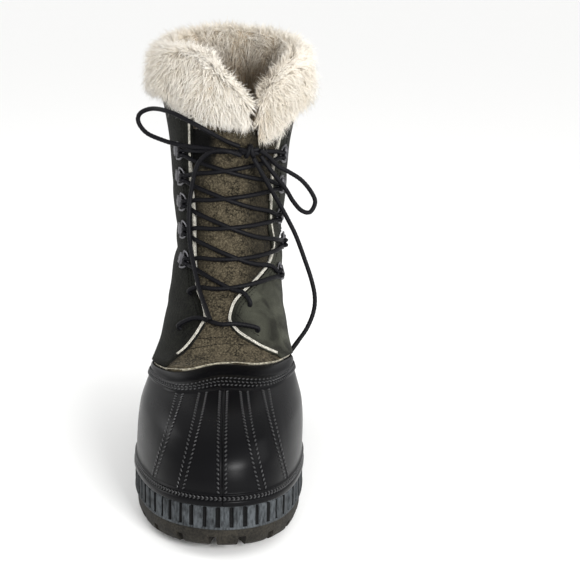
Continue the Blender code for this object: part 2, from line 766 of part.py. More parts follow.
def curve_object(name, points, diameter, finish=None, cyclic=False, resolution=2):
    curve = bpy.data.curves.new(name, "CURVE")
    curve.dimensions = "3D"
    curve.bevel_depth = diameter / 2
    curve.bevel_resolution = resolution
    curve.use_fill_caps = not cyclic
    spline = curve.splines.new("POLY")
    spline.points.add(len(points) - 1)
    for target, point in zip(spline.points, points):
        target.co = (*point, 1.0)
    spline.use_cyclic_u = cyclic
    if finish:
        curve.materials.append(finish)
    made = bpy.data.objects.new(name, curve)
    COLLECTION.objects.link(made)
    return made


def as_mesh(made):
    """Replace a curve object by its own welded mesh."""
    graph = bpy.context.evaluated_depsgraph_get()
    mesh = bpy.data.meshes.new_from_object(made.evaluated_get(graph))
    welded = bmesh.new()
    welded.from_mesh(mesh)
    bmesh.ops.remove_doubles(welded, verts=welded.verts, dist=0.00001)
    welded.to_mesh(mesh)
    welded.free()
    name, place = made.name, made.matrix_world.copy()
    bpy.data.objects.remove(made, do_unlink=True)
    solid = bpy.data.objects.new(name, mesh)
    solid.matrix_world = place
    COLLECTION.objects.link(solid)
    return solid


def join(body, others):
    """Union of solids. The others are hidden and serve the first one alone."""
    for other in others:
        for collection in list(other.users_collection):
            collection.objects.unlink(other)
        CUTTERS.objects.link(other)
        hide_cutter(other)
        modifier = body.modifiers.new(other.name, "BOOLEAN")
        modifier.operation = "UNION"
        modifier.solver = "EXACT"
        modifier.object = other


def ring_mesh(finish):
    """Lace ring in its clip: the ring's straight side lies in the clip's barrel."""
    half = RING_WIDTH / 2
    points = [(0.0, -half, 0.0), (0.0, half, 0.0)]
    for angle in (60, 25, -25, -60):
        tilt = math.radians(angle)
        points.append((RING_REACH * math.cos(tilt) ** 0.8, half * math.sin(tilt), 0.0))
    wire = as_mesh(curve_object("ring_wire", points, RING_WIRE, cyclic=True, resolution=0))
    bars = [
        ((-CLIP_LENGTH / 2 + CLIP_BARREL / 2, 0.0, -RING_WIRE / 2 - CLIP_THICKNESS / 2 + 0.0002),
         (CLIP_LENGTH, CLIP_WIDTH, CLIP_THICKNESS)),
        ((0.0, 0.0, -0.0001), (CLIP_BARREL, CLIP_WIDTH * 0.72, RING_WIRE + 0.0010)),
    ]
    parts = [bars_mesh("clip_" + str(i), [(Vector(at), size, 0.0)]) for i, (at, size) in enumerate(bars)]
    join(wire, parts)
    graph = bpy.context.evaluated_depsgraph_get()
    mesh = bpy.data.meshes.new_from_object(wire.evaluated_get(graph))
    for item in [wire, *parts]:
        bpy.data.objects.remove(item, do_unlink=True)
    mesh.materials.clear()
    mesh.materials.append(finish)
    return mesh


def ring_height():
    """Height of the ring's wire over the clip's foot."""
    return RING_WIRE / 2 + CLIP_THICKNESS - 0.0002


def build_rings(finish):
    mesh = ring_mesh(finish)
    for side, rings, sign in (("outer", RINGS_OUTER, -1), ("inner", RINGS_INNER, 1)):
        for i, (height, distance) in enumerate(rings):
            ring = bpy.data.objects.new(f"lace_ring_{side}_{i + 1}", mesh)
            place = frame_on_upper(height, sign * distance * BALL_WIDTH, sign)
            ring.matrix_world = place @ Matrix.Translation((0.0, 0.0, ring_height()))
            COLLECTION.objects.link(ring)


def ring_tip(height, distance, sign, rise):
    """Point just past the ring where a strand leaves it, that far above the ring's middle."""
    place = frame_on_upper(height, sign * distance * BALL_WIDTH, sign)
    reach = RING_REACH + RING_WIRE / 2 + LACE_AIR
    return place @ Vector((reach, -sign * rise, ring_height()))


def over_throat(point, reach):
    """Whether a point seen from the front lies over the tongue, that far in from the edge."""
    height = (point.z - SHELL_HEIGHT) / (SHAFT_HEIGHT - SHELL_HEIGHT)
    outer = -table_curve(THROAT, height, 1) * BALL_WIDTH
    inner = table_curve(THROAT, height, 2) * BALL_WIDTH
    return min(point.x - outer, inner - point.x) / reach


def strand_points(start, end):
    """Lace between two places. It lies on the quarters' edges and dips over the tongue."""
    low = LACE_DIAMETER / 2 + LACE_AIR + LACE_SAG
    high = low + QUARTER_LIFT + QUARTER_WALL
    points = [start]
    for share in STRAND_SHARES:
        straight = start.lerp(end, share)
        level = level_of(straight.z)
        turn = turn_at(level, straight.x)
        inside = min(1.0, max(0.0, over_throat(straight, LACE_DIAMETER * 2)))
        points.append(upper_offset(level, turn, lerp(high, low, inside * inside)))
    points.append(end)
    return points


def build_lace(finish):
    """Crossings over the tongue, each two strands joined where they cross."""
    over = QUARTER_LIFT + QUARTER_WALL + LACE_DIAMETER / 2 + LACE_AIR + LACE_SAG / 2
    holes = []
    for sign, places in ((-1, HOLES_OUTER), (1, HOLES_INNER)):
        holes.append([on_upper(height, sign * share * BALL_WIDTH, over) for height, share in places])

    bar = [holes[0][0]]
    bar += [on_upper(height, share * BALL_WIDTH, over) for height, share in BAR_BEND]
    bar.append(holes[1][0])
    curve_object("lace_crossing_low", bar, LACE_DIAMETER, finish, resolution=1)

    # A strand leaves each ring upwards and another comes in from below, beside it
    side_step = LACE_DIAMETER / 2 + LACE_AIR
    ways = []
    for sign, rings, hole in ((-1, RINGS_OUTER, holes[0][1]), (1, RINGS_INNER, holes[1][1])):
        leaving = [hole] + [ring_tip(*ring, sign, side_step) for ring in rings]
        coming = [None] + [ring_tip(*ring, sign, -side_step) for ring in rings]
        ways.append((leaving, coming))
    (outer_leaving, outer_coming), (inner_leaving, inner_coming) = ways
    for i in range(len(RINGS_OUTER)):
        routes = (
            (f"lace_crossing_{i + 1}", strand_points(outer_leaving[i], inner_coming[i + 1])),
            (f"lace_strand_{i + 1}", strand_points(inner_leaving[i], outer_coming[i + 1])),
        )
        first, second = [as_mesh(curve_object(name, points, LACE_DIAMETER, resolution=1))
                         for name, points in routes]
        first.data.materials.append(finish)
        join(first, [second])


def smooth_route(points, step):
    """Points about one step apart on a smooth curve through the route's points."""
    ends = [2 * Vector(points[0]) - Vector(points[1])] + [Vector(p) for p in points]
    ends.append(2 * Vector(points[-1]) - Vector(points[-2]))
    fine = []
    for a, b, c, d in zip(ends, ends[1:], ends[2:], ends[3:]):
        for i in range(12):
            u = i / 12
            fine.append(0.5 * (2 * b + (c - a) * u + (2 * a - 5 * b + 4 * c - d) * u * u
                               + (3 * b - 3 * c + d - a) * u ** 3))
    fine.append(ends[-2])
    lengths = [0.0]
    for a, b in zip(fine, fine[1:]):
        lengths.append(lengths[-1] + (b - a).length)
    count = max(2, round(lengths[-1] / step))
    route = []
    for i in range(count + 1):
        at = lengths[-1] * i / count
        route.append(tuple(float(np.interp(at, lengths, [p[axis] for p in fine])) for axis in range(3)))
    return route


def build_cords(finish, tip_finish):
    """Knot, two loops and two ends. Each end has its tip."""
    mesh = bmesh.new()
    bmesh.ops.create_uvsphere(mesh, u_segments=9, v_segments=6, radius=1.0,
                              matrix=Matrix.Translation(KNOT) @ Matrix.Diagonal((*KNOT_RADII, 1.0)))
    add_mesh("lace_knot", mesh, finish)
    step = LACE_DIAMETER * 3
    for name, points in (("lace_loop_outer", LOOP_OUTER), ("lace_loop_inner", LOOP_INNER)):
        curve_object(name, smooth_route(points, step), LACE_DIAMETER, finish)
    for side, points in (("outer", END_OUTER), ("inner", END_INNER)):
        route = smooth_route(points, step)
        curve_object("lace_end_" + side, route, LACE_DIAMETER, finish)
        last = Vector(route[-1])
        heading = (last - Vector(route[-2])).normalized()
        start = last + heading * CLEARANCE
        end = start + heading * TIP_LENGTH
        curve_object("lace_tip_" + side, [start, end], TIP_DIAMETER, tip_finish)


def main():
    for item in list(bpy.data.objects):
        bpy.data.objects.remove(item, do_unlink=True)
    bpy.context.scene.collection.children.link(COLLECTION)
    bpy.context.scene.collection.children.link(CUTTERS)

    rubber = material("rubber", (0.012, 0.012, 0.013), 0.45)
    tread = material("tread_rubber", (0.045, 0.040, 0.035), 0.85)
    ribbed = material("ribbed_rubber", (0.060, 0.070, 0.078), 0.80)
    suede = material("suede", (0.050, 0.053, 0.042), 0.95)
    tongue_suede = material("tongue_suede", (0.100, 0.082, 0.052), 0.95)
    felt = material("felt", (0.420, 0.330, 0.230), 0.98)
    pile = material("pile", (0.800, 0.740, 0.660), 0.95)

    nickel = material("dark_nickel", (0.180, 0.175, 0.170), 0.35, 1.0)
    cord = material("braided_cord", (0.010, 0.010, 0.011), 0.80)
    tip = material("plastic_tip", (0.012, 0.012, 0.013), 0.50)

    build_outsole(tread)
    build_midsole(ribbed)
    build_rubber_shell(rubber)
    build_shaft(suede)
    build_tongue(tongue_suede)
    build_liner(felt)
    build_insole(felt)
    build_cuff(pile)
    build_rings(nickel)
    build_lace(cord)
    build_cords(cord, tip)


main()
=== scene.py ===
"""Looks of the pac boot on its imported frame. Metres, +Z up, the toe points to -Y."""

import math

import bpy
import numpy as np
from mathutils import Matrix, Vector


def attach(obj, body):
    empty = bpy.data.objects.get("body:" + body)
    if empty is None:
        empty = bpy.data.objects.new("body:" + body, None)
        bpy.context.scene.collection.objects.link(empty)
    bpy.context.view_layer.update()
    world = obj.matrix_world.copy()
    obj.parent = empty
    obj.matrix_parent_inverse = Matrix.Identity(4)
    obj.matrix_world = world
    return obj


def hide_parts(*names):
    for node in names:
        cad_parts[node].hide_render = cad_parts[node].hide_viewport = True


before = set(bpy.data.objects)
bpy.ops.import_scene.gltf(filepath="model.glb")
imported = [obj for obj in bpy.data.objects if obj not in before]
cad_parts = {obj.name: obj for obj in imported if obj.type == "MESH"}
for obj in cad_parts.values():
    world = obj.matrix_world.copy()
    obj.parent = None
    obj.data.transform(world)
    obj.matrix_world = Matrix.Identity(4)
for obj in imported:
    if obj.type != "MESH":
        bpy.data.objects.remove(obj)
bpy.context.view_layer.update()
dice = np.random.default_rng(11)

# Camera, from the photograph's perspective
CAMERA_PLACE = (0.0221, -1.0710, 0.413)
CAMERA_TILT = 74.5
CAMERA_YAW = -1.6
CAMERA_ROLL = 1.2
LENS = 80.6

# Driving sizes, the same as the part's
FOOT_LENGTH = 0.312
BALL_WIDTH = 0.121
HEEL_BACK = 0.040
HEEL_HEIGHT = 0.028
BALL_HEIGHT = 0.018
TOE_HEIGHT = 0.0235
TOE_SPRING = 0.0105
ARCH_RISE = 0.007
BAND_HEIGHT = 0.017
LUG_DEPTH = 0.007
LUG_SLOT = 0.0055
LUG_REACH = 0.215 * BALL_WIDTH
SHELL_HEIGHT = 0.102
SHAFT_HEIGHT = 0.285
RIM_STEP = 0.0012
RUBBER_WALL = 0.0030
QUARTER_WALL = 0.0020
TONGUE_WALL = 0.0018
LINER_WALL = 0.0040
SHEET_GAP = 0.0007
FLANGE_DEPTH = SHEET_GAP / 2 + TONGUE_WALL + SHEET_GAP
FLANGE_WALL = 0.0018
LINER_DEPTH = FLANGE_DEPTH + FLANGE_WALL + 3 * SHEET_GAP
QUARTER_LIFT = SHEET_GAP / 2
QUARTER_FACE = QUARTER_LIFT + QUARTER_WALL
TONGUE_TOP = 0.262
LINER_TOP = 0.250
CUFF_TOP = 0.332
CUFF_FRONT_TOP = 0.276
CUFF_INNER_DROP = 0.256
CUFF_OUT = 0.0068
CUFF_IN = 0.0100
CUFF_SPLIT = 0.0175
CUFF_SPLIT_WIDTH = 0.008
CUFF_CROWN = 0.012
LACE_DIAMETER = 0.0034
RING_WIRE = 0.0018
RING_WIDTH = 0.0130
RING_REACH = 0.0105
KNOT = (0.0160, -0.0755, 0.2475)
TIP_LENGTH = 0.0150

# The scene's own sizes, from here to the sections. First, how far the pile's roll clears the leather
CUFF_OVER = 0.0037
CUFF_UNDER = 0.0035

# Pile: its locks and hairs. Real hairs are about 0.05 mm thick, and are drawn thicker to show
LOCKS_AROUND = 70
LOCKS_OVER = 19
HAIRS_PER_LOCK = 29
HAIR_SHORT = 0.012
HAIR_LONG = 0.019
HAIR_THIN = 0.00035
HAIR_THICK = 0.00065

# Lace and rings
LACE_SIDES = 16
BRAID_DEPTH = 0.09
BRAID_PITCH = 0.0030
ROUTE_STEP = 0.0006
BAR_CLEARANCE = 0.0009
STRAND_CLEARANCE = 0.0014
TIP_RADIUS = 0.0019
RING_LIFT = 0.0025
WIRE_LIFT = RING_LIFT - 0.0006

# Sections of the upper, the same as the part's: level, front, back, then half widths
SECTIONS = (
    (0.00, 1.000, 0.000, 0.636, 0.475, 0.356, 0.545, 0.607, 0.686),
    (0.18, 1.000, 0.000, 0.634, 0.475, 0.356, 0.547, 0.607, 0.684),
    (0.40, 0.990, -0.001, 0.628, 0.470, 0.350, 0.546, 0.597, 0.684),
    (0.62, 0.960, -0.001, 0.615, 0.463, 0.341, 0.536, 0.578, 0.680),
    (0.80, 0.895, 0.002, 0.587, 0.446, 0.333, 0.502, 0.552, 0.650),
    (0.92, 0.790, 0.006, 0.548, 0.434, 0.325, 0.468, 0.530, 0.612),
    (1.00, 0.641, 0.008, 0.479, 0.422, 0.322, 0.440, 0.510, 0.551),
    (1.10, 0.560, 0.012, 0.446, 0.417, 0.322, 0.408, 0.458, 0.495),
    (1.22, 0.478, 0.014, 0.405, 0.400, 0.333, 0.366, 0.380, 0.410),
    (1.36, 0.422, 0.011, 0.375, 0.360, 0.333, 0.340, 0.350, 0.370),
    (1.55, 0.380, -0.004, 0.390, 0.372, 0.360, 0.362, 0.370, 0.385),
    (1.78, 0.352, -0.025, 0.410, 0.395, 0.385, 0.385, 0.390, 0.400),
    (2.00, 0.340, -0.045, 0.460, 0.455, 0.450, 0.450, 0.450, 0.455),
)
STATIONS = (0.0, 0.15, 0.42, 0.70, 0.88, 1.0)
CENTRE_SHIFT = (0.000, 0.000, 0.000, -0.022, -0.004, 0.018)
OUTSOLE_TOP = (
    (0.00, HEEL_HEIGHT + 0.0015),
    (0.12, HEEL_HEIGHT),
    (0.28, HEEL_HEIGHT * 0.93),
    (0.52, BALL_HEIGHT * 1.08),
    (0.70, BALL_HEIGHT),
    (0.88, (BALL_HEIGHT + TOE_HEIGHT) * 0.48),
    (1.00, TOE_HEIGHT),
)
TREAD = (
    (0.00, 0.0),
    (0.270, 0.0),
    (0.285, ARCH_RISE),
    (0.420, ARCH_RISE),
    (0.470, 0.0),
    (0.740, 0.0),
    (0.88, TOE_SPRING * 0.36),
    (1.00, TOE_SPRING),
)

# Quarters' front edges, the scene's own: height share, then distances outwards and inwards over BALL_WIDTH
THROAT = (
    (-0.05, 0.440, 0.430),
    (0.015, 0.335, 0.330),
    (0.06, 0.225, 0.180),
    (0.10, 0.155, 0.065),
    (0.135, 0.122, 0.022),
    (0.18, 0.140, 0.040),
    (0.225, 0.175, 0.100),
    (0.27, 0.185, 0.190),
    (0.32, 0.195, 0.265),
    (0.37, 0.200, 0.285),
    (0.50, 0.205, 0.262),
    (0.68, 0.235, 0.270),
    (0.85, 0.242, 0.320),
    (1.05, 0.250, 0.370),
)

# The pile's top edge: turn from the toe, share of the way from CUFF_FRONT_TOP to CUFF_TOP
CUFF_RISE = (
    (-0.36, 0.20),
    (-0.15, 0.39),
    (0.10, 0.59),
    (0.35, 0.79),
    (0.65, 0.84),
    (0.95, 0.82),
    (1.57, 0.76),
    (2.20, 0.90),
    (3.14, 1.00),
    (4.08, 0.90),
    (4.71, 0.76),
    (5.33, 0.64),
    (5.63, 0.50),
    (5.83, 0.32),
    (5.95, 0.24),
)

# Lowest roots of the pile's outside: turn from the toe, height. The hair hangs below them
CUFF_DROPS = (
    (-0.36, 0.266),
    (-0.15, 0.269),
    (0.10, 0.270),
    (0.35, 0.271),
    (0.65, 0.280),
    (1.10, 0.289),
    (1.60, 0.290),
    (3.14, 0.288),
    (4.90, 0.282),
    (5.33, 0.271),
    (5.63, 0.260),
    (5.80, 0.256),
    (5.95, 0.255),
)

# Lace rings and punched holes: height share, distance over BALL_WIDTH
RINGS_OUTER = ((0.317, 0.262), (0.440, 0.270), (0.555, 0.280), (0.662, 0.292), (0.770, 0.305))
RINGS_INNER = ((0.257, 0.318), (0.365, 0.330), (0.497, 0.312), (0.628, 0.320), (0.760, 0.335))
HOLES_OUTER = ((0.098, 0.270), (0.205, 0.215))
HOLES_INNER = ((0.096, 0.185), (0.176, 0.140))
BAR_BEND = ((0.123, -0.165), (0.110, -0.033), (0.111, 0.066))
STRAND_SHARES = (0.14, 0.30, 0.50, 0.70, 0.86)

# Cord routes, the same as the part's
LOOP_OUTER = (
    (0.0086, -0.0757, 0.2512), (-0.002, -0.0775, 0.2556), (-0.0155, -0.0852, 0.2640),
    (-0.0295, -0.0838, 0.2712), (-0.0450, -0.0750, 0.2768), (-0.0590, -0.0605, 0.2772),
    (-0.069, -0.0555, 0.2730), (-0.071, -0.0540, 0.2660), (-0.065, -0.0560, 0.2580),
    (-0.054, -0.0600, 0.2535), (-0.038, -0.0655, 0.2500), (-0.014, -0.0710, 0.2484),
    (0.0081, -0.0740, 0.2465),
)
LOOP_INNER = (
    (0.0245, -0.0765, 0.2485), (0.0305, -0.0715, 0.2435), (0.038, -0.0650, 0.2350),
    (0.048, -0.0610, 0.2290), (0.058, -0.0580, 0.2220), (0.066, -0.0560, 0.2120),
    (0.069, -0.0560, 0.2040), (0.065, -0.0575, 0.1965), (0.058, -0.0610, 0.1985),
    (0.051, -0.0655, 0.2070), (0.0445, -0.0695, 0.2180), (0.0345, -0.0735, 0.2310),
    (0.0250, -0.0745, 0.2440),
)
END_OUTER = (
    (0.0099, -0.0787, 0.2447), (0.0010, -0.0815, 0.2480), (-0.0090, -0.0805, 0.2485),
    (-0.0190, -0.0780, 0.2430), (-0.0250, -0.0765, 0.2330), (-0.0285, -0.0750, 0.2160),
    (-0.0300, -0.0771, 0.2010), (-0.0300, -0.0815, 0.1850), (-0.0280, -0.0890, 0.1710),
    (-0.0235, -0.1030, 0.1550), (-0.0195, -0.1160, 0.1445), (-0.0160, -0.1255, 0.1380),
)
END_INNER = (
    (0.0196, -0.0786, 0.2426), (0.0235, -0.0795, 0.2360), (0.0300, -0.0770, 0.2240),
    (0.0400, -0.0710, 0.2060), (0.0470, -0.0680, 0.1930), (0.0540, -0.0670, 0.1790),
    (0.0610, -0.0680, 0.1610), (0.0670, -0.0700, 0.1440), (0.0700, -0.0720, 0.1300),
    (0.0690, -0.0740, 0.1180), (0.0640, -0.0780, 0.1060), (0.0570, -0.0810, 0.0960),
)

# Rubber lower: its height at the toe, and how far its top edge dips beside the toe and along the sides
SHELL_RISE = SHELL_HEIGHT - TOE_HEIGHT - BAND_HEIGHT
OUTER_DIP = 0.0042
INNER_DIP = 0.0018
SIDE_DIP = 0.0040

# Ribs on the side of the sole
RIB_PITCH = 0.0092
RIB_SLOT_DEPTH = 0.0026

# Fan of moulded seams: turn from the toe at the lower's foot and at its top band
SEAMS = ((-0.66, -0.45), (-0.35, -0.20), (0.0, 0.0), (0.35, 0.20), (0.66, 0.45))
SEAM_HALF_WIDTH = 0.0026

# Leather: the millimetres round the shaft in a radian of turn, the back stay, and the stitches
MM_PER_TURN = 55.0
BACKSTAY_TURN = 0.34
BACKSTAY_LIFT = 0.0007
STITCH_STEP = 0.0030

# Folds: two ends as turn from the toe and height, then depth and width. Heights and the rest in mm
QUARTER_FOLDS = (
    (-2.6, 172, -1.0, 166, -2.2, 5.0),
    (-2.6, 160, -1.1, 154, 1.8, 8.0),
    (-1.9, 186, -1.0, 181, -0.9, 4.0),
    (1.0, 160, 2.6, 168, -2.0, 5.0),
    (1.1, 148, 2.6, 154, 1.6, 8.0),
    (0.9, 178, 1.9, 184, -0.9, 4.0),
    (0.75, 128, 1.7, 120, -0.8, 4.0),
    (-0.75, 128, -1.7, 122, -0.8, 4.0),
    (1.2, 205, 2.0, 232, -0.7, 6.0),
    (-1.2, 212, -2.0, 236, -0.7, 6.0),
    (2.4, 210, 3.1, 180, -0.8, 7.0),
    (-2.4, 205, -3.1, 182, -0.8, 7.0),
)
TONGUE_FOLDS = (
    (-0.40, 207, -0.38, 188, -1.6, 1.0),
    (-0.33, 205, -0.30, 190, 0.5, 3.0),
    (-0.8, 141, 0.7, 145, -1.0, 3.0),
    (-0.7, 134, 0.6, 137, 0.7, 4.0),
    (-0.5, 173, 0.5, 169, -0.6, 5.0),
    (-0.4, 235, 0.3, 231, -0.5, 5.0),
    (0.3, 158, 0.6, 188, -0.5, 3.0),
)


def lerp(start, end, share):
    return start + (end - start) * share


def soft_step(x):
    """0 below 0, 1 above 1, and smooth between them."""
    x = np.clip(x, 0.0, 1.0)
    return x * x * (3 - 2 * x)


def smooth_curve(xs, ys, x):
    """Monotone cubic through rows for an array of places. Each y may be an array too."""
    xs = np.asarray(xs, float)
    x = np.clip(np.asarray(x, float), xs[0], xs[-1])
    flat = x.ravel()
    ys = np.stack([np.broadcast_to(np.asarray(y, float), x.shape).ravel() for y in ys])
    steps = np.diff(xs)[:, None]
    rises = np.diff(ys, axis=0) / steps
    slopes = np.empty_like(ys)
    slopes[0] = rises[0]
    slopes[-1] = rises[-1]
    same = rises[:-1] * rises[1:] > 0
    first = np.where(same, rises[:-1], 1.0)
    second = np.where(same, rises[1:], 1.0)
    near = 2 * steps[1:] + steps[:-1]
    far = steps[1:] + 2 * steps[:-1]
    slopes[1:-1] = np.where(same, (near + far) / (near / first + far / second), 0.0)
    k = np.clip(np.searchsorted(xs, flat, side="right") - 1, 0, len(xs) - 2)
    at = np.arange(flat.size)
    step = steps[k, 0]
    u = (flat - xs[k]) / step
    start = (1 + 2 * u) * (1 - u) ** 2 * ys[k, at] + u * (1 - u) ** 2 * step * slopes[k, at]
    end = u * u * (3 - 2 * u) * ys[k + 1, at] + u * u * (u - 1) * step * slopes[k + 1, at]
    return (start + end).reshape(x.shape)


def table_curve(table, x, column=1):
    return smooth_curve([row[0] for row in table], [row[column] for row in table], x)


def straight_curve(table, x):
    return np.interp(x, [row[0] for row in table], [row[1] for row in table])


def outsole_top(y):
    return table_curve(OUTSOLE_TOP, (HEEL_BACK - y) / FOOT_LENGTH)


def tread_height(y):
    return straight_curve(TREAD, (HEEL_BACK - y) / FOOT_LENGTH)


def section_height(level):
    """Height of a section over the toe: band top at 0, SHELL_HEIGHT at 1, collar at 2."""
    levels = [row[0] for row in SECTIONS]
    toe_floor = TOE_HEIGHT + BAND_HEIGHT
    heights = [lerp(toe_floor, SHELL_HEIGHT, at) if at <= 1 else lerp(SHELL_HEIGHT, SHAFT_HEIGHT, at - 1)
               for at in levels]
    return smooth_curve(levels, heights, level)


def dipped(level, turn):
    """Levels lowered along the sides, so that the rubber's top edge looks even from the front."""
    share = soft_step((level - 0.15) / 0.85) * (1 - soft_step((level - 1.01) / 0.12))
    aside = np.sin(turn) ** 2
    dip = np.where(turn % (2 * math.pi) > math.pi, OUTER_DIP, INNER_DIP)
    lowered = dip * 1.25 * aside / (aside + 0.25) + SIDE_DIP * aside ** 4
    return level - lowered / SHELL_RISE * share


def upper_point(level, turn):
    """Points of the last's outer surface. turn is 0 at the heel and pi at the toe."""
    level, turn = np.broadcast_arrays(np.asarray(level, float), np.asarray(turn, float))
    level = dipped(level, turn)
    row = [table_curve(SECTIONS, level, column) for column in range(1, 9)]
    along = (1 - np.cos(turn)) / 2
    y = HEEL_BACK - lerp(row[1], row[0], along) * FOOT_LENGTH
    half = smooth_curve(STATIONS, row[2:], along) * BALL_WIDTH
    fade = np.maximum(0.0, 1 - level / 1.6)
    x = smooth_curve(STATIONS, CENTRE_SHIFT, along) * BALL_WIDTH * fade + half * np.sin(turn)
    rise = outsole_top(y) - TOE_HEIGHT
    z = section_height(level) + rise * np.maximum(0.0, 1 - level) ** 1.3
    return np.stack([x, y, z], -1)


def unit(vectors):
    return vectors / np.maximum(np.linalg.norm(vectors, axis=-1, keepdims=True), 1e-12)


def upper_normal(level, turn):
    small = 0.004
    across = upper_point(level, turn + small) - upper_point(level, turn - small)
    above = np.minimum(np.asarray(level) + small, 2.0)
    below = np.maximum(np.asarray(level) - small, 0.0)
    return unit(np.cross(upper_point(above, turn) - upper_point(below, turn), across))


def upper_offset(level, turn, depth):
    """Points that lie a depth outside the surface."""
    return upper_point(level, turn) + upper_normal(level, turn) * np.asarray(depth)[..., None]


LEVEL_STEPS = np.linspace(1.0, 2.0, 600)
LEVEL_HEIGHTS = section_height(LEVEL_STEPS)


def level_of(z):
    return np.interp(z, LEVEL_HEIGHTS, LEVEL_STEPS)


def turn_at(level, x):
    """Turns on the front half where the surface is x to the inner side of the middle."""
    level, x = np.broadcast_arrays(np.asarray(level, float), np.asarray(x, float))
    low = np.full(x.shape, math.pi * 0.5)
    high = np.full(x.shape, math.pi * 1.5)
    for _ in range(26):
        middle = (low + high) / 2
        beyond = upper_point(level, middle)[..., 0] > x
        low = np.where(beyond, middle, low)
        high = np.where(beyond, high, middle)
    return (low + high) / 2


def height_at(share):
    return lerp(SHELL_HEIGHT, SHAFT_HEIGHT, share)


def front_point(x, z, depth):
    """Points on the front of the shaft, seen from the front, a depth off the surface."""
    level = level_of(z)
    return upper_offset(level, turn_at(level, x), depth)


# Materials


def linear(code):
    """Linear colour of an sRGB hex value."""
    channels = [int(code[i:i + 2], 16) / 255 for i in (1, 3, 5)]
    return tuple(c / 12.92 if c <= 0.04045 else ((c + 0.055) / 1.055) ** 2.4 for c in channels) + (1.0,)


def per_mm(size):
    """Texture scale that gives a pattern this many millimetres across."""
    return 1000.0 / size


def add(tree, kind, inputs=None, **settings):
    """Add a shader node with its settings. An input is a value or the socket that feeds it."""
    node = tree.nodes.new("ShaderNode" + kind)
    for name, value in settings.items():
        setattr(node, name, value)
    for name, value in (inputs or {}).items():
        if isinstance(value, bpy.types.NodeSocket):
            tree.links.new(value, node.inputs[name])
        else:
            node.inputs[name].default_value = value
    return node


def blend(tree, share, first, second):
    """Colour between two colours or sockets, by the share that a socket gives."""
    return add(tree, "Mix", {0: share, 6: first, 7: second}, data_type="RGBA").outputs[2]


def start_material(name, roughness, ior=1.5, **values):
    """New material with its tree, its shader and its object coordinates."""
    made = bpy.data.materials.new(name)
    made.use_nodes = True
    tree = made.node_tree
    shader = tree.nodes["Principled BSDF"]
    shader.inputs["Roughness"].default_value = roughness
    shader.inputs["IOR"].default_value = ior
    for key, value in values.items():
        shader.inputs[key.replace("_", " ")].default_value = value
    place = add(tree, "TexCoord").outputs["Object"]
    return made, tree, shader, place


def moulded_rubber(name, dark, pale, gloss_level):
    """Vulcanised rubber from a polished mould: near black, half gloss, with a dry bloom."""
    # The bloom clouds the gloss in patches 28 mm wide. The mould's grain of 0.1 mm is drawn at 0.7 mm to show
    made, tree, shader, place = start_material(name, 0.30, 1.52, Specular_IOR_Level=gloss_level)
    cloud = add(tree, "TexNoise", {"Vector": place, "Scale": per_mm(28), "Detail": 4.0})
    grain = add(tree, "TexNoise", {"Vector": place, "Scale": per_mm(0.7), "Detail": 3.0})
    colour = blend(tree, cloud.outputs["Fac"], linear(dark), linear(pale))
    gloss = add(tree, "MapRange", {"Value": cloud.outputs["Fac"], 3: 0.22, 4: 0.36})
    bump = add(tree, "Bump", {"Height": grain.outputs["Fac"], "Strength": 0.16, "Distance": 0.0003})
    tree.links.new(colour, shader.inputs["Base Color"])
    tree.links.new(gloss.outputs[0], shader.inputs["Roughness"])
    tree.links.new(bump.outputs[0], shader.inputs["Normal"])
    return made


def rubber_with_dust_and_painted_light(name, dark, pale, streak):
    """Rubber with dry dust in its grain, drawn paler over the toe as painted light and darker behind as
    painted shade. streak stretches its marks upwards.
    """
    # Matt and grey where it is dusty. Scuffs of about 0.4 mm are drawn at 1.4 mm to show
    made, tree, shader, place = start_material(name, 0.72, 1.52, Specular_IOR_Level=0.15)
    stretch = add(tree, "Mapping", {"Vector": place, "Scale": (1.0, 1.0, streak)})
    dust = add(tree, "TexNoise", {"Vector": place, "Scale": per_mm(16), "Detail": 5.0, "Roughness": 0.65})
    marks = add(tree, "TexNoise", {"Vector": stretch.outputs[0], "Scale": per_mm(1.4), "Detail": 4.0})
    mixed = add(tree, "Math", {0: dust.outputs["Fac"], 1: marks.outputs["Fac"]}, operation="MULTIPLY")
    share = add(tree, "MapRange", {"Value": mixed.outputs[0], 1: 0.10, 2: 0.36})
    axes = add(tree, "SeparateXYZ", {"Vector": place})
    # Painted light: the dust is drawn paler towards the toe, where the light falls, and darker behind as
    # painted shade
    front = add(tree, "MapRange", {"Value": axes.outputs["Y"], 1: -0.17, 2: -0.25, 3: 0.25, 4: 1.0})
    strength = add(tree, "Math", {0: share.outputs[0], 1: front.outputs[0]}, operation="MULTIPLY")
    colour = blend(tree, strength.outputs[0], linear(dark), linear(pale))
    bump = add(tree, "Bump", {"Height": marks.outputs["Fac"], "Strength": 0.55, "Distance": 0.0006})
    tree.links.new(colour, shader.inputs["Base Color"])
    tree.links.new(bump.outputs[0], shader.inputs["Normal"])
    return made


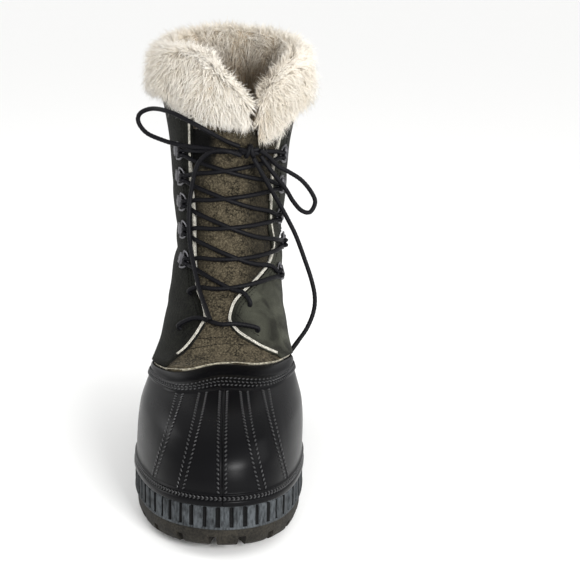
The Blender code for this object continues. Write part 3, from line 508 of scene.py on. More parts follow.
def suede(name, dark, middle, pale, nap, sheen):
    """Oiled suede: short nap that lies in patches, so it is light one way and dark the other."""
    # Matt, with a soft mottle. Fibres of 0.2 mm are drawn at 1.5 mm to show. The "dark" attribute paints
    # shade, and the other attribute paints light: a paler grey where the light falls
    made, tree, shader, place = start_material(name, 0.85, 1.45, Sheen_Weight=sheen, Sheen_Roughness=0.45,
                                               Specular_IOR_Level=0.12)
    patches = add(tree, "TexNoise", {"Vector": place, "Scale": per_mm(nap), "Detail": 5.0, "Distortion": 0.8})
    fibre = add(tree, "TexNoise", {"Vector": place, "Scale": per_mm(1.5), "Detail": 8.0, "Roughness": 0.75})
    pores = add(tree, "TexVoronoi", {"Vector": place, "Scale": per_mm(1.4)})
    brushed = add(tree, "MapRange", {"Value": patches.outputs["Fac"], 1: 0.38, 2: 0.62})
    worn = add(tree, "MapRange", {"Value": fibre.outputs["Fac"], 1: 0.46, 2: 0.68})
    base = blend(tree, brushed.outputs[0], linear(dark), linear(middle))
    colour = blend(tree, worn.outputs[0], base, linear(pale))
    # Painted shade: the "dark" attribute blends the suede towards near black
    shadow = add(tree, "Attribute", attribute_name="dark")
    shaded = blend(tree, shadow.outputs["Fac"], colour, linear("#080807"))
    # Painted light: this attribute turns the suede a paler grey-olive, as on the lit side
    painted_light = add(tree, "Attribute", attribute_name="painted_light")
    grey = blend(tree, brushed.outputs[0], linear("#21211c"), linear("#42433a"))
    toned = blend(tree, painted_light.outputs["Fac"], shaded, grey)
    rough = add(tree, "Math", {0: fibre.outputs["Fac"], 1: pores.outputs["Distance"]}, operation="ADD")
    bump = add(tree, "Bump", {"Height": rough.outputs[0], "Strength": 0.5, "Distance": 0.0006})
    tree.links.new(toned, shader.inputs["Base Color"])
    tree.links.new(bump.outputs[0], shader.inputs["Normal"])
    return made


def fibrous(name, dark, pale, size, strength, roughness=0.9):
    """Felted or cut fibre: matt, with short threads in every direction."""
    # Pale and fuzzy. Fibres of 0.05 mm are drawn at size, in mm, to show
    made, tree, shader, place = start_material(name, roughness, 1.5, Sheen_Weight=0.2)
    thread = add(tree, "TexNoise", {"Vector": place, "Scale": per_mm(size), "Detail": 6.0, "Distortion": 1.5})
    share = add(tree, "MapRange", {"Value": thread.outputs["Fac"], 1: 0.35, 2: 0.65})
    colour = blend(tree, share.outputs[0], linear(dark), linear(pale))
    bump = add(tree, "Bump", {"Height": thread.outputs["Fac"], "Strength": strength, "Distance": 0.0006})
    tree.links.new(colour, shader.inputs["Base Color"])
    tree.links.new(bump.outputs[0], shader.inputs["Normal"])
    return made


def pile_fibre():
    """Acrylic pile: soft cream hair, with painted shade that makes it darker near its roots and brown inside.
    """
    # Each hair carries its place along itself, its lock's tint and how far inside it grows. Place and inside
    # paint shade; the tint is partly random and partly painted light at the front
    made, tree, shader, place = start_material("acrylic_pile", 0.62, 1.5, Sheen_Weight=0.15)
    shade, tint, inside = [add(tree, "Attribute", attribute_name=name).outputs["Fac"]
                           for name in ("shade", "tint", "inside")]
    lock = blend(tree, tint, linear("#e9e1d3"), linear("#fffdf8"))
    outside = blend(tree, shade, linear("#d5c9b4"), lock)
    brown = blend(tree, shade, linear("#6b573f"), linear("#a8967a"))
    colour = blend(tree, inside, outside, brown)
    tree.links.new(colour, shader.inputs["Base Color"])
    return made


def dark_nickel():
    """Steel wire with a dark nickel plate, tumbled, so its gloss is soft."""
    # Grey glints that break up where the plate is rubbed, in marks 2.2 mm long
    made, tree, shader, place = start_material("dark_nickel_plate", 0.30, 1.5, Metallic=1.0)
    wear = add(tree, "TexNoise", {"Vector": place, "Scale": per_mm(2.2), "Detail": 4.0})
    colour = blend(tree, wear.outputs["Fac"], linear("#2c2c2e"), linear("#77767a"))
    gloss = add(tree, "MapRange", {"Value": wear.outputs["Fac"], 3: 0.22, 4: 0.46})
    tree.links.new(colour, shader.inputs["Base Color"])
    tree.links.new(gloss.outputs[0], shader.inputs["Roughness"])
    return made


def braided_polyester(name, dark, pale):
    """Round braided polyester: fine filaments with a slight gloss on the braid's tops."""
    # Nearly matt black. Filaments of 0.05 mm are drawn at 0.5 mm to show
    made, tree, shader, place = start_material(name, 0.50, 1.5, Specular_IOR_Level=0.10)
    filament = add(tree, "TexNoise", {"Vector": place, "Scale": per_mm(0.5), "Detail": 3.0})
    colour = blend(tree, filament.outputs["Fac"], linear(dark), linear(pale))
    bump = add(tree, "Bump", {"Height": filament.outputs["Fac"], "Strength": 0.4, "Distance": 0.0002})
    tree.links.new(colour, shader.inputs["Base Color"])
    tree.links.new(bump.outputs[0], shader.inputs["Normal"])
    return made


# Meshes from grids of points


def grid_faces(rows, columns, ring=False, start=0):
    r, c = np.meshgrid(np.arange(rows - 1), np.arange(columns if ring else columns - 1), indexing="ij")
    n = (c + 1) % columns
    quads = np.stack([r * columns + c, r * columns + n, (r + 1) * columns + n, (r + 1) * columns + c], -1)
    return quads.reshape(-1, 4) + start


def new_piece(name, points, faces, finish, slot=None):
    """Mesh object from arrays of points and of faces, smooth, riding on the boot."""
    mesh = bpy.data.meshes.new(name)
    groups = [group for group in faces if len(group)]
    corners = np.concatenate([group.ravel() for group in groups])
    sizes = np.concatenate([np.full(len(group), group.shape[1]) for group in groups])
    mesh.vertices.add(len(points))
    mesh.vertices.foreach_set("co", np.asarray(points, np.float32).ravel())
    mesh.loops.add(len(corners))
    mesh.loops.foreach_set("vertex_index", corners.astype(np.int32))
    mesh.polygons.add(len(sizes))
    starts = np.concatenate(([0], np.cumsum(sizes)[:-1]))
    mesh.polygons.foreach_set("loop_start", starts.astype(np.int32))
    mesh.update(calc_edges=True)
    mesh.validate()
    mesh.shade_smooth()
    mesh.materials.append(finish)
    made = bpy.data.objects.new(name, mesh)
    bpy.context.scene.collection.objects.link(made)
    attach(made, "root")
    return made


def set_attribute(piece, name, values):
    """Store a number for each vertex of a piece, for its material."""
    attribute = piece.data.attributes.new(name, "FLOAT", "POINT")
    attribute.data.foreach_set("value", np.ascontiguousarray(values, np.float32).ravel())


def vertex_places(piece):
    places = np.empty(len(piece.data.vertices) * 3, np.float32)
    piece.data.vertices.foreach_get("co", places)
    return places.reshape(-1, 3)


def outward(points, faces):
    """The same faces, turned round where they would enclose a negative volume."""
    volume = 0.0
    for group in faces:
        first = points[group[:, 0]]
        for k in range(1, group.shape[1] - 1):
            turned = np.cross(points[group[:, k]], points[group[:, k + 1]])
            volume += np.einsum("ij,ij->i", first, turned).sum()
    return faces if volume > 0 else [group[:, ::-1] for group in faces]


def walled(name, outer, inner, finish, ring=False, slot=None):
    """Closed sheet between two grids of points, open or joined round in its columns."""
    rows, columns = outer.shape[:2]
    under_rows = inner.shape[0]
    shift = rows * columns
    points = np.concatenate([outer.reshape(-1, 3), inner.reshape(-1, 3)])
    faces = [grid_faces(rows, columns, ring), grid_faces(under_rows, columns, ring, shift)[:, ::-1]]
    c = np.arange(columns if ring else columns - 1)
    n = (c + 1) % columns
    faces.append(np.stack([n, c, shift + c, shift + n], -1))
    top = (rows - 1) * columns
    under = shift + (under_rows - 1) * columns
    faces.append(np.stack([top + c, top + n, under + n, under + c], -1))
    if not ring:
        r = np.arange(rows - 1) * columns
        faces.append(np.stack([r, r + columns, shift + r + columns, shift + r], -1))
        last = r + columns - 1
        faces.append(np.stack([last + columns, last, shift + last, shift + last + columns], -1))
    return new_piece(name, points, outward(points, faces), finish, slot)


def swept(path, across, out, section):
    """Points and faces of a bar along a path. section holds its outline's across and out."""
    section = np.asarray(section, float)
    rings = path[:, None] + across[:, None] * section[None, :, :1] + out[:, None] * section[None, :, 1:]
    rows, columns = rings.shape[:2]
    points = np.concatenate([rings.reshape(-1, 3), rings[:1].mean(1), rings[-1:].mean(1)])
    c = np.arange(columns)
    n = (c + 1) % columns
    first = np.stack([n, c, np.full(columns, rows * columns)], -1)
    last = (rows - 1) * columns
    second = np.stack([last + c, last + n, np.full(columns, rows * columns + 1)], -1)
    return points, [grid_faces(rows, columns, True), np.concatenate([first, second])]


def merged(parts):
    """One set of points and faces from several."""
    points, faces, start = [], {}, 0
    for part_points, part_faces in parts:
        points.append(part_points)
        for group in part_faces:
            faces.setdefault(group.shape[1], []).append(group + start)
        start += len(part_points)
    return np.concatenate(points), [np.concatenate(groups) for groups in faces.values()]


def capsule(length, width, height, sides=5):
    """Points and faces of a stitch or moulded pip that lies along its first axis."""
    stations = np.array([-0.5, -0.42, -0.2, 0.2, 0.42, 0.5])
    sizes = np.array([0.25, 0.75, 1.0, 1.0, 0.75, 0.25])
    angles = np.arange(sides) * 2 * math.pi / sides
    section = np.stack([np.cos(angles) * width / 2, np.sin(angles) * height / 2], -1)
    rings = np.concatenate([
        np.broadcast_to(stations[:, None, None] * length, (6, sides, 1)),
        sizes[:, None, None] * section[None],
    ], -1)
    c = np.arange(sides)
    n = (c + 1) % sides
    points = np.concatenate([rings.reshape(-1, 3), [[-length / 2, 0, 0], [length / 2, 0, 0]]])
    caps = np.concatenate([
        np.stack([n, c, np.full(sides, 6 * sides)], -1),
        np.stack([5 * sides + c, 5 * sides + n, np.full(sides, 6 * sides + 1)], -1),
    ])
    return points, [grid_faces(6, sides, True), caps]


def strewn(name, template, places, along, out, finish, slot=None):
    """One mesh of many copies of a template, each at a place with its own directions."""
    points, faces = template
    along = unit(along)
    across = unit(np.cross(out, along))
    out = np.cross(along, across)
    frames = np.stack([along, across, out], 1)
    everywhere = places[:, None] + np.einsum("pk,nkd->npd", points, frames)
    shift = np.arange(len(places))[:, None, None] * len(points)
    groups = [(group[None] + shift).reshape(-1, group.shape[1]) for group in faces]
    everywhere = everywhere.reshape(-1, 3)
    return new_piece(name, everywhere, outward(everywhere, groups), finish, slot)


def lengths_along(path):
    """Length of a path up to each of its points."""
    return np.concatenate(([0.0], np.cumsum(np.linalg.norm(np.diff(path, axis=0), axis=1))))


def evenly(path, step):
    """Places a step apart along a path, its direction at each, and the length up to each."""
    lengths = lengths_along(path)
    count = max(2, int(round(lengths[-1] / step)) + 1)
    at = np.linspace(0.0, lengths[-1], count)
    places = np.stack([np.interp(at, lengths, path[:, k]) for k in range(3)], -1)
    return places, unit(np.gradient(places, axis=0)), at


# Rubber lower


def shell_profile():
    """Rows of the lower from its rim up: level, depth, and how much a seam shows there."""
    rim = ((0.0, 1.1), (0.3, 1.6), (0.9, 1.9), (3.1, 1.9), (3.8, 1.6), (4.1, 0.8), (4.4, 0.6), (7.4, 0.6),
           (7.7, 0.9), (8.0, 1.3), (8.5, 1.3), (8.8, 0.8), (9.1, 0.1), (9.6, 0.0))
    rows = [(height / 1000 / SHELL_RISE, depth / 1000, 0.0) for height, depth in rim]
    for level in np.linspace(0.175, 0.925, 36):
        rows.append((level, 0.0, float(soft_step((level - 0.16) / 0.05) * soft_step((0.93 - level) / 0.03))))
    band = ((0.930, 0.0), (0.933, 0.5), (0.936, 0.8), (0.940, 0.9), (0.958, 0.9), (0.966, 0.8), (0.969, 0.5),
            (0.972, 0.5), (0.975, 0.9), (0.979, 1.3), (0.984, 1.5), (0.990, 1.5), (0.996, 1.4), (1.000, 0.9),
            (1.002, 0.1), (1.004, -1.2), (1.006, -2.4), (1.010, -2.85), (1.05, -2.85))
    return rows + [(level, depth / 1000, 0.0) for level, depth in band]


def build_rubber_lower(rubber, stitched):
    """Moulded lower with its rim, top band, parting line and moulded stitches."""
    turns = set(np.round(np.linspace(0.0, 2 * math.pi, 561)[:-1], 5))
    for offset in (-0.02, -0.012, -0.008, -0.005, -0.0025, 0.0, 0.0025, 0.005, 0.008, 0.012, 0.02):
        turns.add(round(math.pi + offset, 5))
    turns = np.array(sorted(turns))
    levels, depths, shows = [np.array(column)[:, None] for column in zip(*shell_profile())]
    from_toe = np.abs(turns - math.pi)
    parting = 0.0007 * np.exp(-(from_toe / 0.005) ** 2) * np.maximum(shows, levels < 0.15)
    depth = depths - parting
    outer = upper_offset(levels + 0 * turns, turns + 0 * levels, depth)
    low = np.array([0.0, 0.4, 0.7, 0.88, 1.0, 1.05])[:, None]
    wall = np.array([RUBBER_WALL] * 3 + [FLANGE_DEPTH + FLANGE_WALL] * 3)[:, None]
    inner = upper_offset(low + 0 * turns, turns + 0 * low, -wall + 0 * turns)
    lower = walled("rubber_lower", outer, inner, rubber, ring=True, slot="rubber")
    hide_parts("rubber_shell")

    # Moulded stitches: two rows on each seam, two round the rim, three round the top band
    places, along, out = [], [], []

    def row_of_stitches(path_level, path_turn, depth, step, lean):
        fine = upper_offset(path_level, path_turn, np.full(path_level.shape, depth))
        lengths = lengths_along(fine)
        at = np.linspace(0.0, lengths[-1], max(2, int(round(lengths[-1] / step)) + 1))
        level = np.interp(at, lengths, path_level)
        turn = np.interp(at, lengths, path_turn)
        normal = upper_normal(level, turn)
        place = upper_offset(level, turn, np.full(level.shape, depth))
        ahead = unit(np.gradient(place, axis=0))
        side = np.cross(normal, ahead)
        places.append(place)
        out.append(normal)
        along.append(ahead * math.cos(lean) + side * math.sin(lean))

    seam_levels = np.linspace(0.165, 0.925, 80)
    for foot, top in SEAMS:
        middle = math.pi + lerp(foot, top, (seam_levels - 0.165) / 0.76)
        path = upper_point(seam_levels, middle)
        per_turn = np.linalg.norm(upper_point(seam_levels, middle + 0.05) - path, axis=1) / 0.05
        for side in (-1, 1):
            row_turns = middle + side * SEAM_HALF_WIDTH / per_turn
            row_of_stitches(seam_levels, row_turns, 0.0001, 0.0031, side * 0.65)
    round_turns = np.linspace(0.0, 2 * math.pi, 900)
    for height, lean in ((0.0050, 0.7), (0.0064, -0.7)):
        row_of_stitches(np.full(900, height / SHELL_RISE), round_turns, 0.0007, 0.0030, lean)
    for level, lean in ((0.942, 0.8), (0.951, -0.8), (0.960, 0.8)):
        row_of_stitches(np.full(900, level), round_turns, 0.0009, 0.0030, lean)
    pip = capsule(0.0024, 0.0012, 0.0016)
    strewn("moulded_stitches", pip, *[np.concatenate(v) for v in (places, along, out)], stitched, "rubber")


# Sole


def outline(turns, outset):
    """Points of the sole's outline, a distance out of it."""
    foot = np.zeros_like(turns)
    here = upper_point(foot, turns)
    ahead = upper_point(foot, turns + 0.002) - upper_point(foot, turns - 0.002)
    normal = unit(np.stack([-ahead[:, 1], ahead[:, 0], 0 * turns], -1))
    return here + normal * np.asarray(outset)[..., None]


def even_turns(count):
    """Turns at even steps along the sole's outline, all the way round."""
    fine = np.linspace(0.0, 2 * math.pi, 4000)
    lengths = lengths_along(outline(fine, 0 * fine))
    return np.interp(np.arange(count) / count * lengths[-1], lengths, fine), lengths[-1]


def capped_ring(rings):
    """Points and faces of a solid from closed rings. Strips across the foot close its ends."""
    rows, columns = rings.shape[:2]
    points = rings.reshape(-1, 3)
    faces = [grid_faces(rows, columns, True)]
    half = columns // 2
    k = np.arange(1, half - 1)
    for start, flip in ((0, True), ((rows - 1) * columns, False)):
        quads = np.stack([k, k + 1, columns - k - 1, columns - k], -1) + start
        ends = np.array([[0, 1, columns - 1], [half - 1, half, half + 1]]) + start
        faces += [quads[:, ::-1], ends[:, ::-1]] if flip else [quads, ends]
    return points, outward(points, faces)


def build_ribbed_band(rubber, slot_rubber):
    """Side of the sole: upright blocks with slots between them drawn dark as painted shade, and a lip below.
    """
    columns = 1400
    turns, length = even_turns(columns)
    ribs = round(length / RIB_PITCH)
    phase = np.arange(columns) / columns * ribs % 1.0
    side = np.abs(phase - 0.5) * 2
    shares = (0.0, 0.035, 0.07, 0.085, 0.12, 0.2, 0.32, 0.45, 0.58, 0.7, 0.8, 0.88, 0.93, 0.96, 0.98, 1.0)
    grain = dice.normal(0.0, 0.00007, (len(shares), columns))
    rings = []
    slot = soft_step((side - 0.67) / 0.09)
    for i, share in enumerate(shares):
        open_slot = float(soft_step((share - 0.075) / 0.03) * soft_step((0.975 - share) / 0.03))
        narrow = 0.55 + 0.45 * share
        depth = -RIB_SLOT_DEPTH * slot * open_slot * narrow + grain[i] * open_slot
        lip = 0.0002 if share < 0.08 else -0.0001 - 0.0006 * float(soft_step((share - 0.94) / 0.05))
        ring = outline(turns, RIM_STEP + lip + depth)
        top = outsole_top(ring[:, 1])
        ring[:, 2] = top + 0.0003 + share * (BAND_HEIGHT - 0.0004)
        rings.append(ring)
    band = new_piece("ribbed_band", *capped_ring(np.array(rings)), rubber, "ribbed_rubber")
    band.data.materials.append(slot_rubber)
    # The faces between the slots' ends take the near-black rubber, as painted shade in the slots
    dark = np.zeros(len(band.data.polygons), np.int32)
    sides = np.zeros((len(shares) - 1, columns), np.int32)
    sides[3:12, (slot + np.roll(slot, -1)) / 2 > 0.25] = 1
    dark[:sides.size] = sides.ravel()
    band.data.polygons.foreach_set("material_index", dark)
    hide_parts("midsole")


def boxes_mesh(boxes):
    """Plain mesh of boxes, for cutting: centre, size and turn about Z of each."""
    corners = np.array([[x, y, z] for z in (-0.5, 0.5) for y in (-0.5, 0.5) for x in (-0.5, 0.5)])
    sides = np.array([[0, 2, 3, 1], [4, 5, 7, 6], [0, 1, 5, 4], [2, 6, 7, 3], [0, 4, 6, 2], [1, 3, 7, 5]])
    parts = []
    for centre, size, angle in boxes:
        c, s = math.cos(angle), math.sin(angle)
        turn = np.array([[c, -s, 0], [s, c, 0], [0, 0, 1]])
        parts.append(((corners * size) @ turn.T + centre, [sides]))
    return merged(parts)


def carve(body, name, boxes):
    """Cut boxes out of a piece and keep the result as its mesh."""
    points, faces = boxes_mesh(boxes)
    mesh = bpy.data.meshes.new(name)
    mesh.from_pydata(points.tolist(), [], faces[0].tolist())
    cutter = bpy.data.objects.new(name, mesh)
    bpy.context.scene.collection.objects.link(cutter)
    modifier = body.modifiers.new(name, "BOOLEAN")
    modifier.operation = "DIFFERENCE"
    modifier.solver = "EXACT"
    modifier.object = cutter
    settle(body)
    bpy.data.objects.remove(cutter, do_unlink=True)


def settle(body):
    """Apply a piece's modifiers to its mesh."""
    graph = bpy.context.evaluated_depsgraph_get()
    mesh = bpy.data.meshes.new_from_object(body.evaluated_get(graph))
    body.modifiers.clear()
    body.data = mesh


def build_outsole(rubber):
    """Lugged tread with sipes and softened edges."""
    turns = even_turns(420)[0]
    rows = ((0.0, -0.0052, 0.0), (0.0022, -0.0022, 0.0), (0.0060, -0.0008, 0.0), (0.0, 0.0, 1.0))
    rings = []
    for lift, outset, from_top in rows:
        ring = outline(turns, np.full(turns.shape, outset))
        ring[:, 2] = np.where(from_top, outsole_top(ring[:, 1]), tread_height(ring[:, 1]) + lift)
        rings.append(ring)
    sole = new_piece("lugged_outsole", *capped_ring(np.array(rings)), rubber, "tread_rubber")
    boxes = []
    for side, lean in ((1, 0.0), (-1, 0.09)):
        for turn in (0.16, 0.48, 0.86, 1.60, 1.78, 1.97, 2.17, 2.40, 2.68, 2.97):
            at = np.array([side * (turn + lean)])
            here = outline(at, np.zeros(1))[0]
            normal = outline(at, np.ones(1))[0] - here
            middle = here - normal * (LUG_REACH * 0.5 - 0.004)
            top = float(tread_height(here[1])) + LUG_DEPTH
            centre = (middle[0], middle[1], top - 0.015)
            boxes.append((centre, (LUG_REACH + 0.008, LUG_SLOT, 0.030), math.atan2(normal[1], normal[0])))
    carve(sole, "lug_slots", boxes)
    sipes = []
    for share in (0.05, 0.10, 0.15, 0.20, 0.50, 0.55, 0.60, 0.65, 0.70, 0.75, 0.80, 0.86):
        y = HEEL_BACK - share * FOOT_LENGTH
        for side in (-1, 1):
            centre = (side * 0.0150, y, float(tread_height(y)) - 0.0065)
            sipes.append((centre, (0.019, 0.0022, 0.020), side * 0.35))
    carve(sole, "sipes", sipes)
    middle = HEEL_BACK - 0.625 * FOOT_LENGTH
    carve(sole, "groove", [((0.0, middle, LUG_DEPTH - 0.015), (LUG_SLOT, 0.39 * FOOT_LENGTH, 0.030), 0.0)])
    bevel = sole.modifiers.new("soft_edges", "BEVEL")
    bevel.width = 0.0005
    bevel.segments = 2
    bevel.limit_method = "ANGLE"
    bevel.angle_limit = math.radians(38)
    settle(sole)
    sole.data.shade_smooth()
    sole.data.set_sharp_from_angle(angle=math.radians(48))
    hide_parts("outsole")


# Leather


def creased(z, turn, creases):
    """Depth of the folds in a sheet: each has two ends, a depth and a width, in mm."""
    total = np.zeros(np.broadcast(z, turn).shape)
    for turn_0, z_0, turn_1, z_1, depth, width in creases:
        start = np.array([turn_0 * MM_PER_TURN, z_0])
        span = np.array([(turn_1 - turn_0) * MM_PER_TURN, z_1 - z_0])
        u = (turn - math.pi) * MM_PER_TURN - start[0]
        v = z * 1000 - start[1]
        share = np.clip((u * span[0] + v * span[1]) / (span @ span), 0.0, 1.0)
        away = np.hypot(u - share * span[0], v - share * span[1])
        fade = 1 - 0.6 * np.abs(share - 0.5) * 2
        total = total + depth / 1000 * fade * np.exp(-(away / width) ** 2)
    return total


def lumpy(z, turn, size, depth):
    """Slow unevenness of worn leather."""
    u = (turn - math.pi) * MM_PER_TURN / size
    v = z * 1000 / size
    broad = np.sin(u * 1.3 + 1.1 * np.sin(v * 0.9)) * np.cos(v * 1.1 + 0.7)
    return depth * (broad + 0.5 * np.sin(u * 2.9 + v * 2.3))


def throat_edge(side, inset=0.0, count=170, low=0.002, high=0.97):
    """Line on the front of the shaft that keeps a distance from a quarter's edge: x and z."""
    share = np.linspace(low, high, count)
    column = 1 if side < 0 else 2
    x = side * table_curve(THROAT, share, column) * BALL_WIDTH
    z = height_at(share)
    ahead = unit(np.stack([np.gradient(x), np.gradient(z)], -1))
    return x + side * ahead[:, 1] * inset, z - side * ahead[:, 0] * inset


def collar_level(turn):
    return 2.0 - 0.14 * np.maximum(0.0, -np.cos(turn)) ** 1.5


def build_quarters(leather):
    """Suede quarters: one sheet round the back, from one front edge to the other."""
    rows, columns = 88, 236
    share = np.linspace(0.0, 1.0, columns)[None]
    low = float(section_height(np.array(1.010)))
    z = lerp(low, SHAFT_HEIGHT, np.linspace(0.0, 1.0, rows))[:, None] + 0 * share
    level = level_of(z[:, :1])
    height = (z[:, :1] - SHELL_HEIGHT) / (SHAFT_HEIGHT - SHELL_HEIGHT)
    inner_turn = turn_at(level, table_curve(THROAT, height, 2) * BALL_WIDTH)
    outer_turn = turn_at(level, -table_curve(THROAT, height, 1) * BALL_WIDTH) - 2 * math.pi
    turn = lerp(inner_turn, outer_turn, share)
    top = section_height(collar_level(turn[-1:]))
    z = low + (z - low) * (top - low) / (SHAFT_HEIGHT - low)
    folded = np.where(turn < 0, turn + 2 * math.pi, turn)
    drape = creased(z, folded, QUARTER_FOLDS) + lumpy(z, turn, 17.0, 0.00035)
    to_edge = np.minimum(share, 1 - share)
    ends = soft_step(to_edge / 0.02) * soft_step((z - low) / 0.012) * soft_step((top - z) / 0.01)
    stay = BACKSTAY_LIFT * soft_step((BACKSTAY_TURN - np.abs(turn)) / 0.03)
    roll = -0.0006 * (1 - soft_step(to_edge / 0.006))
    level = level_of(z)
    outer = upper_offset(level, turn, QUARTER_FACE + drape * ends + stay + roll)
    inner = upper_offset(level, turn, QUARTER_LIFT + np.minimum(drape * ends, 0.0))
    quarters = walled("suede_quarters", outer, inner, leather, slot="suede")
    spots = vertex_places(quarters)
    # Painted light: the inner front of the quarters is drawn paler grey-olive, where the light falls
    front = soft_step((spots[:, 0] - 0.002) / 0.020) * soft_step((-0.030 - spots[:, 1]) / 0.035)
    set_attribute(quarters, "painted_light", 0.85 * front)
    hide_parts("shaft")


def build_vamp(leather):
    """Suede vamp and tongue in one piece, under the quarters' edges."""
    rows, columns = 104, 136
    turn = np.linspace(math.pi - 1.28, math.pi + 1.28, columns)[None]
    low = float(section_height(np.array(1.010)))
    z = np.linspace(low, TONGUE_TOP, rows)[:, None] + 0 * turn
    corner = soft_step((np.abs(turn - math.pi) - 0.45) / 0.5) * 0.003
    z = low + (z - low) * (TONGUE_TOP - corner - low) / (TONGUE_TOP - low)
    level = level_of(z)
    turn = turn + 0 * z
    drape = creased(z, turn, TONGUE_FOLDS) + lumpy(z, turn, 13.0, 0.00025)
    ends = soft_step((z - low) / 0.006) * soft_step((TONGUE_TOP - z) / 0.004)
    outer = upper_offset(level, turn, -SHEET_GAP / 2 + np.minimum(drape, 0.0003) * ends)
    inner = upper_offset(level, turn, -SHEET_GAP / 2 - TONGUE_WALL + np.minimum(drape, 0.0) * ends)
    vamp = walled("suede_tongue", outer, inner, leather, slot="tongue_suede")
    spots = vertex_places(vamp)
    # Painted shade: the tongue is drawn darker at its outer top, under the pile and the lace, and along its
    # sides under the quarters' edges
    shadow = soft_step((-0.006 - spots[:, 0]) / 0.010) * soft_step((spots[:, 2] - 0.226) / 0.012)
    side = soft_step((np.abs(spots[:, 0] + 0.002) - 0.010) / 0.014) * soft_step((spots[:, 2] - 0.125) / 0.02)
    set_attribute(vamp, "dark", np.maximum(shadow, 0.6 * side))
    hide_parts("tongue")


def edge_frame(x, z, depth):
    """Path on the front of the shaft with its directions across and out."""
    path = front_point(x, z, np.full(x.shape, depth))
    level = level_of(z)
    out = upper_normal(level, turn_at(level, x))
    ahead = unit(np.gradient(path, axis=0))
    return path, unit(np.cross(ahead, out)), out


def build_edges(cut_edge, hem_edge, thread):
    """Pale cut edges of the quarters and of the lower hem, with the rows of stitching."""
    half_round = [(-1.05, -1.9), (-1.05, -0.2), (-0.85, 0.3), (-0.45, 0.45), (-0.2, 0.3), (0.0, -0.25),
                  (0.2, 0.3), (0.45, 0.45), (0.85, 0.3), (1.05, -0.2), (1.05, -1.9)]
    section = np.array(half_round) / 1000
    parts = []
    for side in (-1, 1):
        x, z = throat_edge(side, 0.0004, low=0.034 if side < 0 else 0.020, high=0.95)
        path, across, out = edge_frame(x, z, QUARTER_FACE)
        wander = dice.normal(0.0, 0.00012, len(x)).cumsum() * 0.15
        parts.append(swept(path + across * wander[:, None], across, out, section))
    points, faces = merged(parts)
    new_piece("quarter_cut_edges", points, outward(points, faces), cut_edge, "suede")

    # Hem of the leather over the rubber, all round, a little uneven
    turns = np.linspace(0.0, 2 * math.pi, 500)
    level = 1.0105 + 0.0010 * np.sin(turns * 7) + 0.0007 * np.sin(turns * 17 + 1)
    out = upper_normal(level, turns)
    front = soft_step((1.30 - np.abs(turns - math.pi)) / 0.08)
    depth = lerp(QUARTER_FACE - 0.0006, -0.0004, front)
    path = upper_offset(level, turns, depth)
    across = unit(np.cross(np.gradient(path, axis=0), out))
    hem = np.array([(-0.45, -1.2), (-0.45, 0.15), (-0.1, 0.4), (0.2, 0.35), (0.4, 0.1), (0.4, -1.2)]) / 1000
    points, faces = swept(path, across, out, hem)
    new_piece("hem_cut_edge", points, outward(points, faces), hem_edge, "suede")

    # Stitches: rows beside the quarters' edges, two across the vamp, two down each side of the back stay
    places, along, out = [], [], []

    def sew(path, normal):
        keep, ahead, at = evenly(path, STITCH_STEP)
        shares = np.linspace(0, at[-1], len(path))
        places.append(keep)
        along.append(ahead)
        out.append(np.stack([np.interp(at, shares, normal[:, k]) for k in range(3)], -1))

    for side in (-1, 1):
        for inset in (0.0042, 0.0066):
            x, z = throat_edge(side, inset, low=0.06)
            path, across, normal = edge_frame(x, z, QUARTER_FACE + 0.0001)
            sew(path, normal)
    for height in (0.1115, 0.1155):
        turn = np.linspace(math.pi - 0.95, math.pi + 0.95, 300)
        level = level_of(height + 0.0015 * np.cos((turn - math.pi) * 2.0))
        sew(upper_offset(level, turn, np.full(300, -SHEET_GAP / 2)), upper_normal(level, turn))
    for edge in (0.30, -0.30, 0.27, -0.27):
        level = level_of(np.linspace(0.108, 0.278, 200))
        turn = np.full(200, edge)
        lift = np.full(200, QUARTER_FACE + BACKSTAY_LIFT + 0.0001)
        sew(upper_offset(level, turn, lift), upper_normal(level, turn))
    stitch = capsule(0.0023, 0.0006, 0.0006)
    strewn("seam_stitches", stitch, *[np.concatenate(v) for v in (places, along, out)], thread, "suede")


def build_liner(felt):
    """Felt inner boot and its footbed."""
    above = np.linspace(1.05, float(level_of(LINER_TOP)), 26)
    levels = np.concatenate([np.linspace(0.0, 1.0, 22), above])[:, None]
    turns = np.linspace(0.0, 2 * math.pi, 181)[:-1][None]
    wave = lumpy(section_height(levels), turns, 11.0, 0.0002)
    levels, turns = levels + 0 * turns, turns + 0 * levels
    outer = upper_offset(levels, turns, -LINER_DEPTH + 0 * wave)
    inner = upper_offset(levels, turns, -LINER_DEPTH - LINER_WALL + wave)
    liner = walled("felt_inner_boot", outer, inner, felt, ring=True, slot="felt")
    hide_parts("felt_liner")
    turns = even_turns(240)[0]
    rings = []
    for height, inset in ((0.0003, 0.0), (0.0045, 0.0), (0.0056, 0.0004), (0.0060, 0.0014)):
        ring = outline(turns, np.full(turns.shape, -LINER_DEPTH - LINER_WALL - 0.0026 - inset))
        ring[:, 2] = outsole_top(ring[:, 1]) + BAND_HEIGHT + height
        rings.append(ring)
    footbed = new_piece("felt_footbed", *capped_ring(np.array(rings)), felt, "felt")
    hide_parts("insole")


# Pile cuff


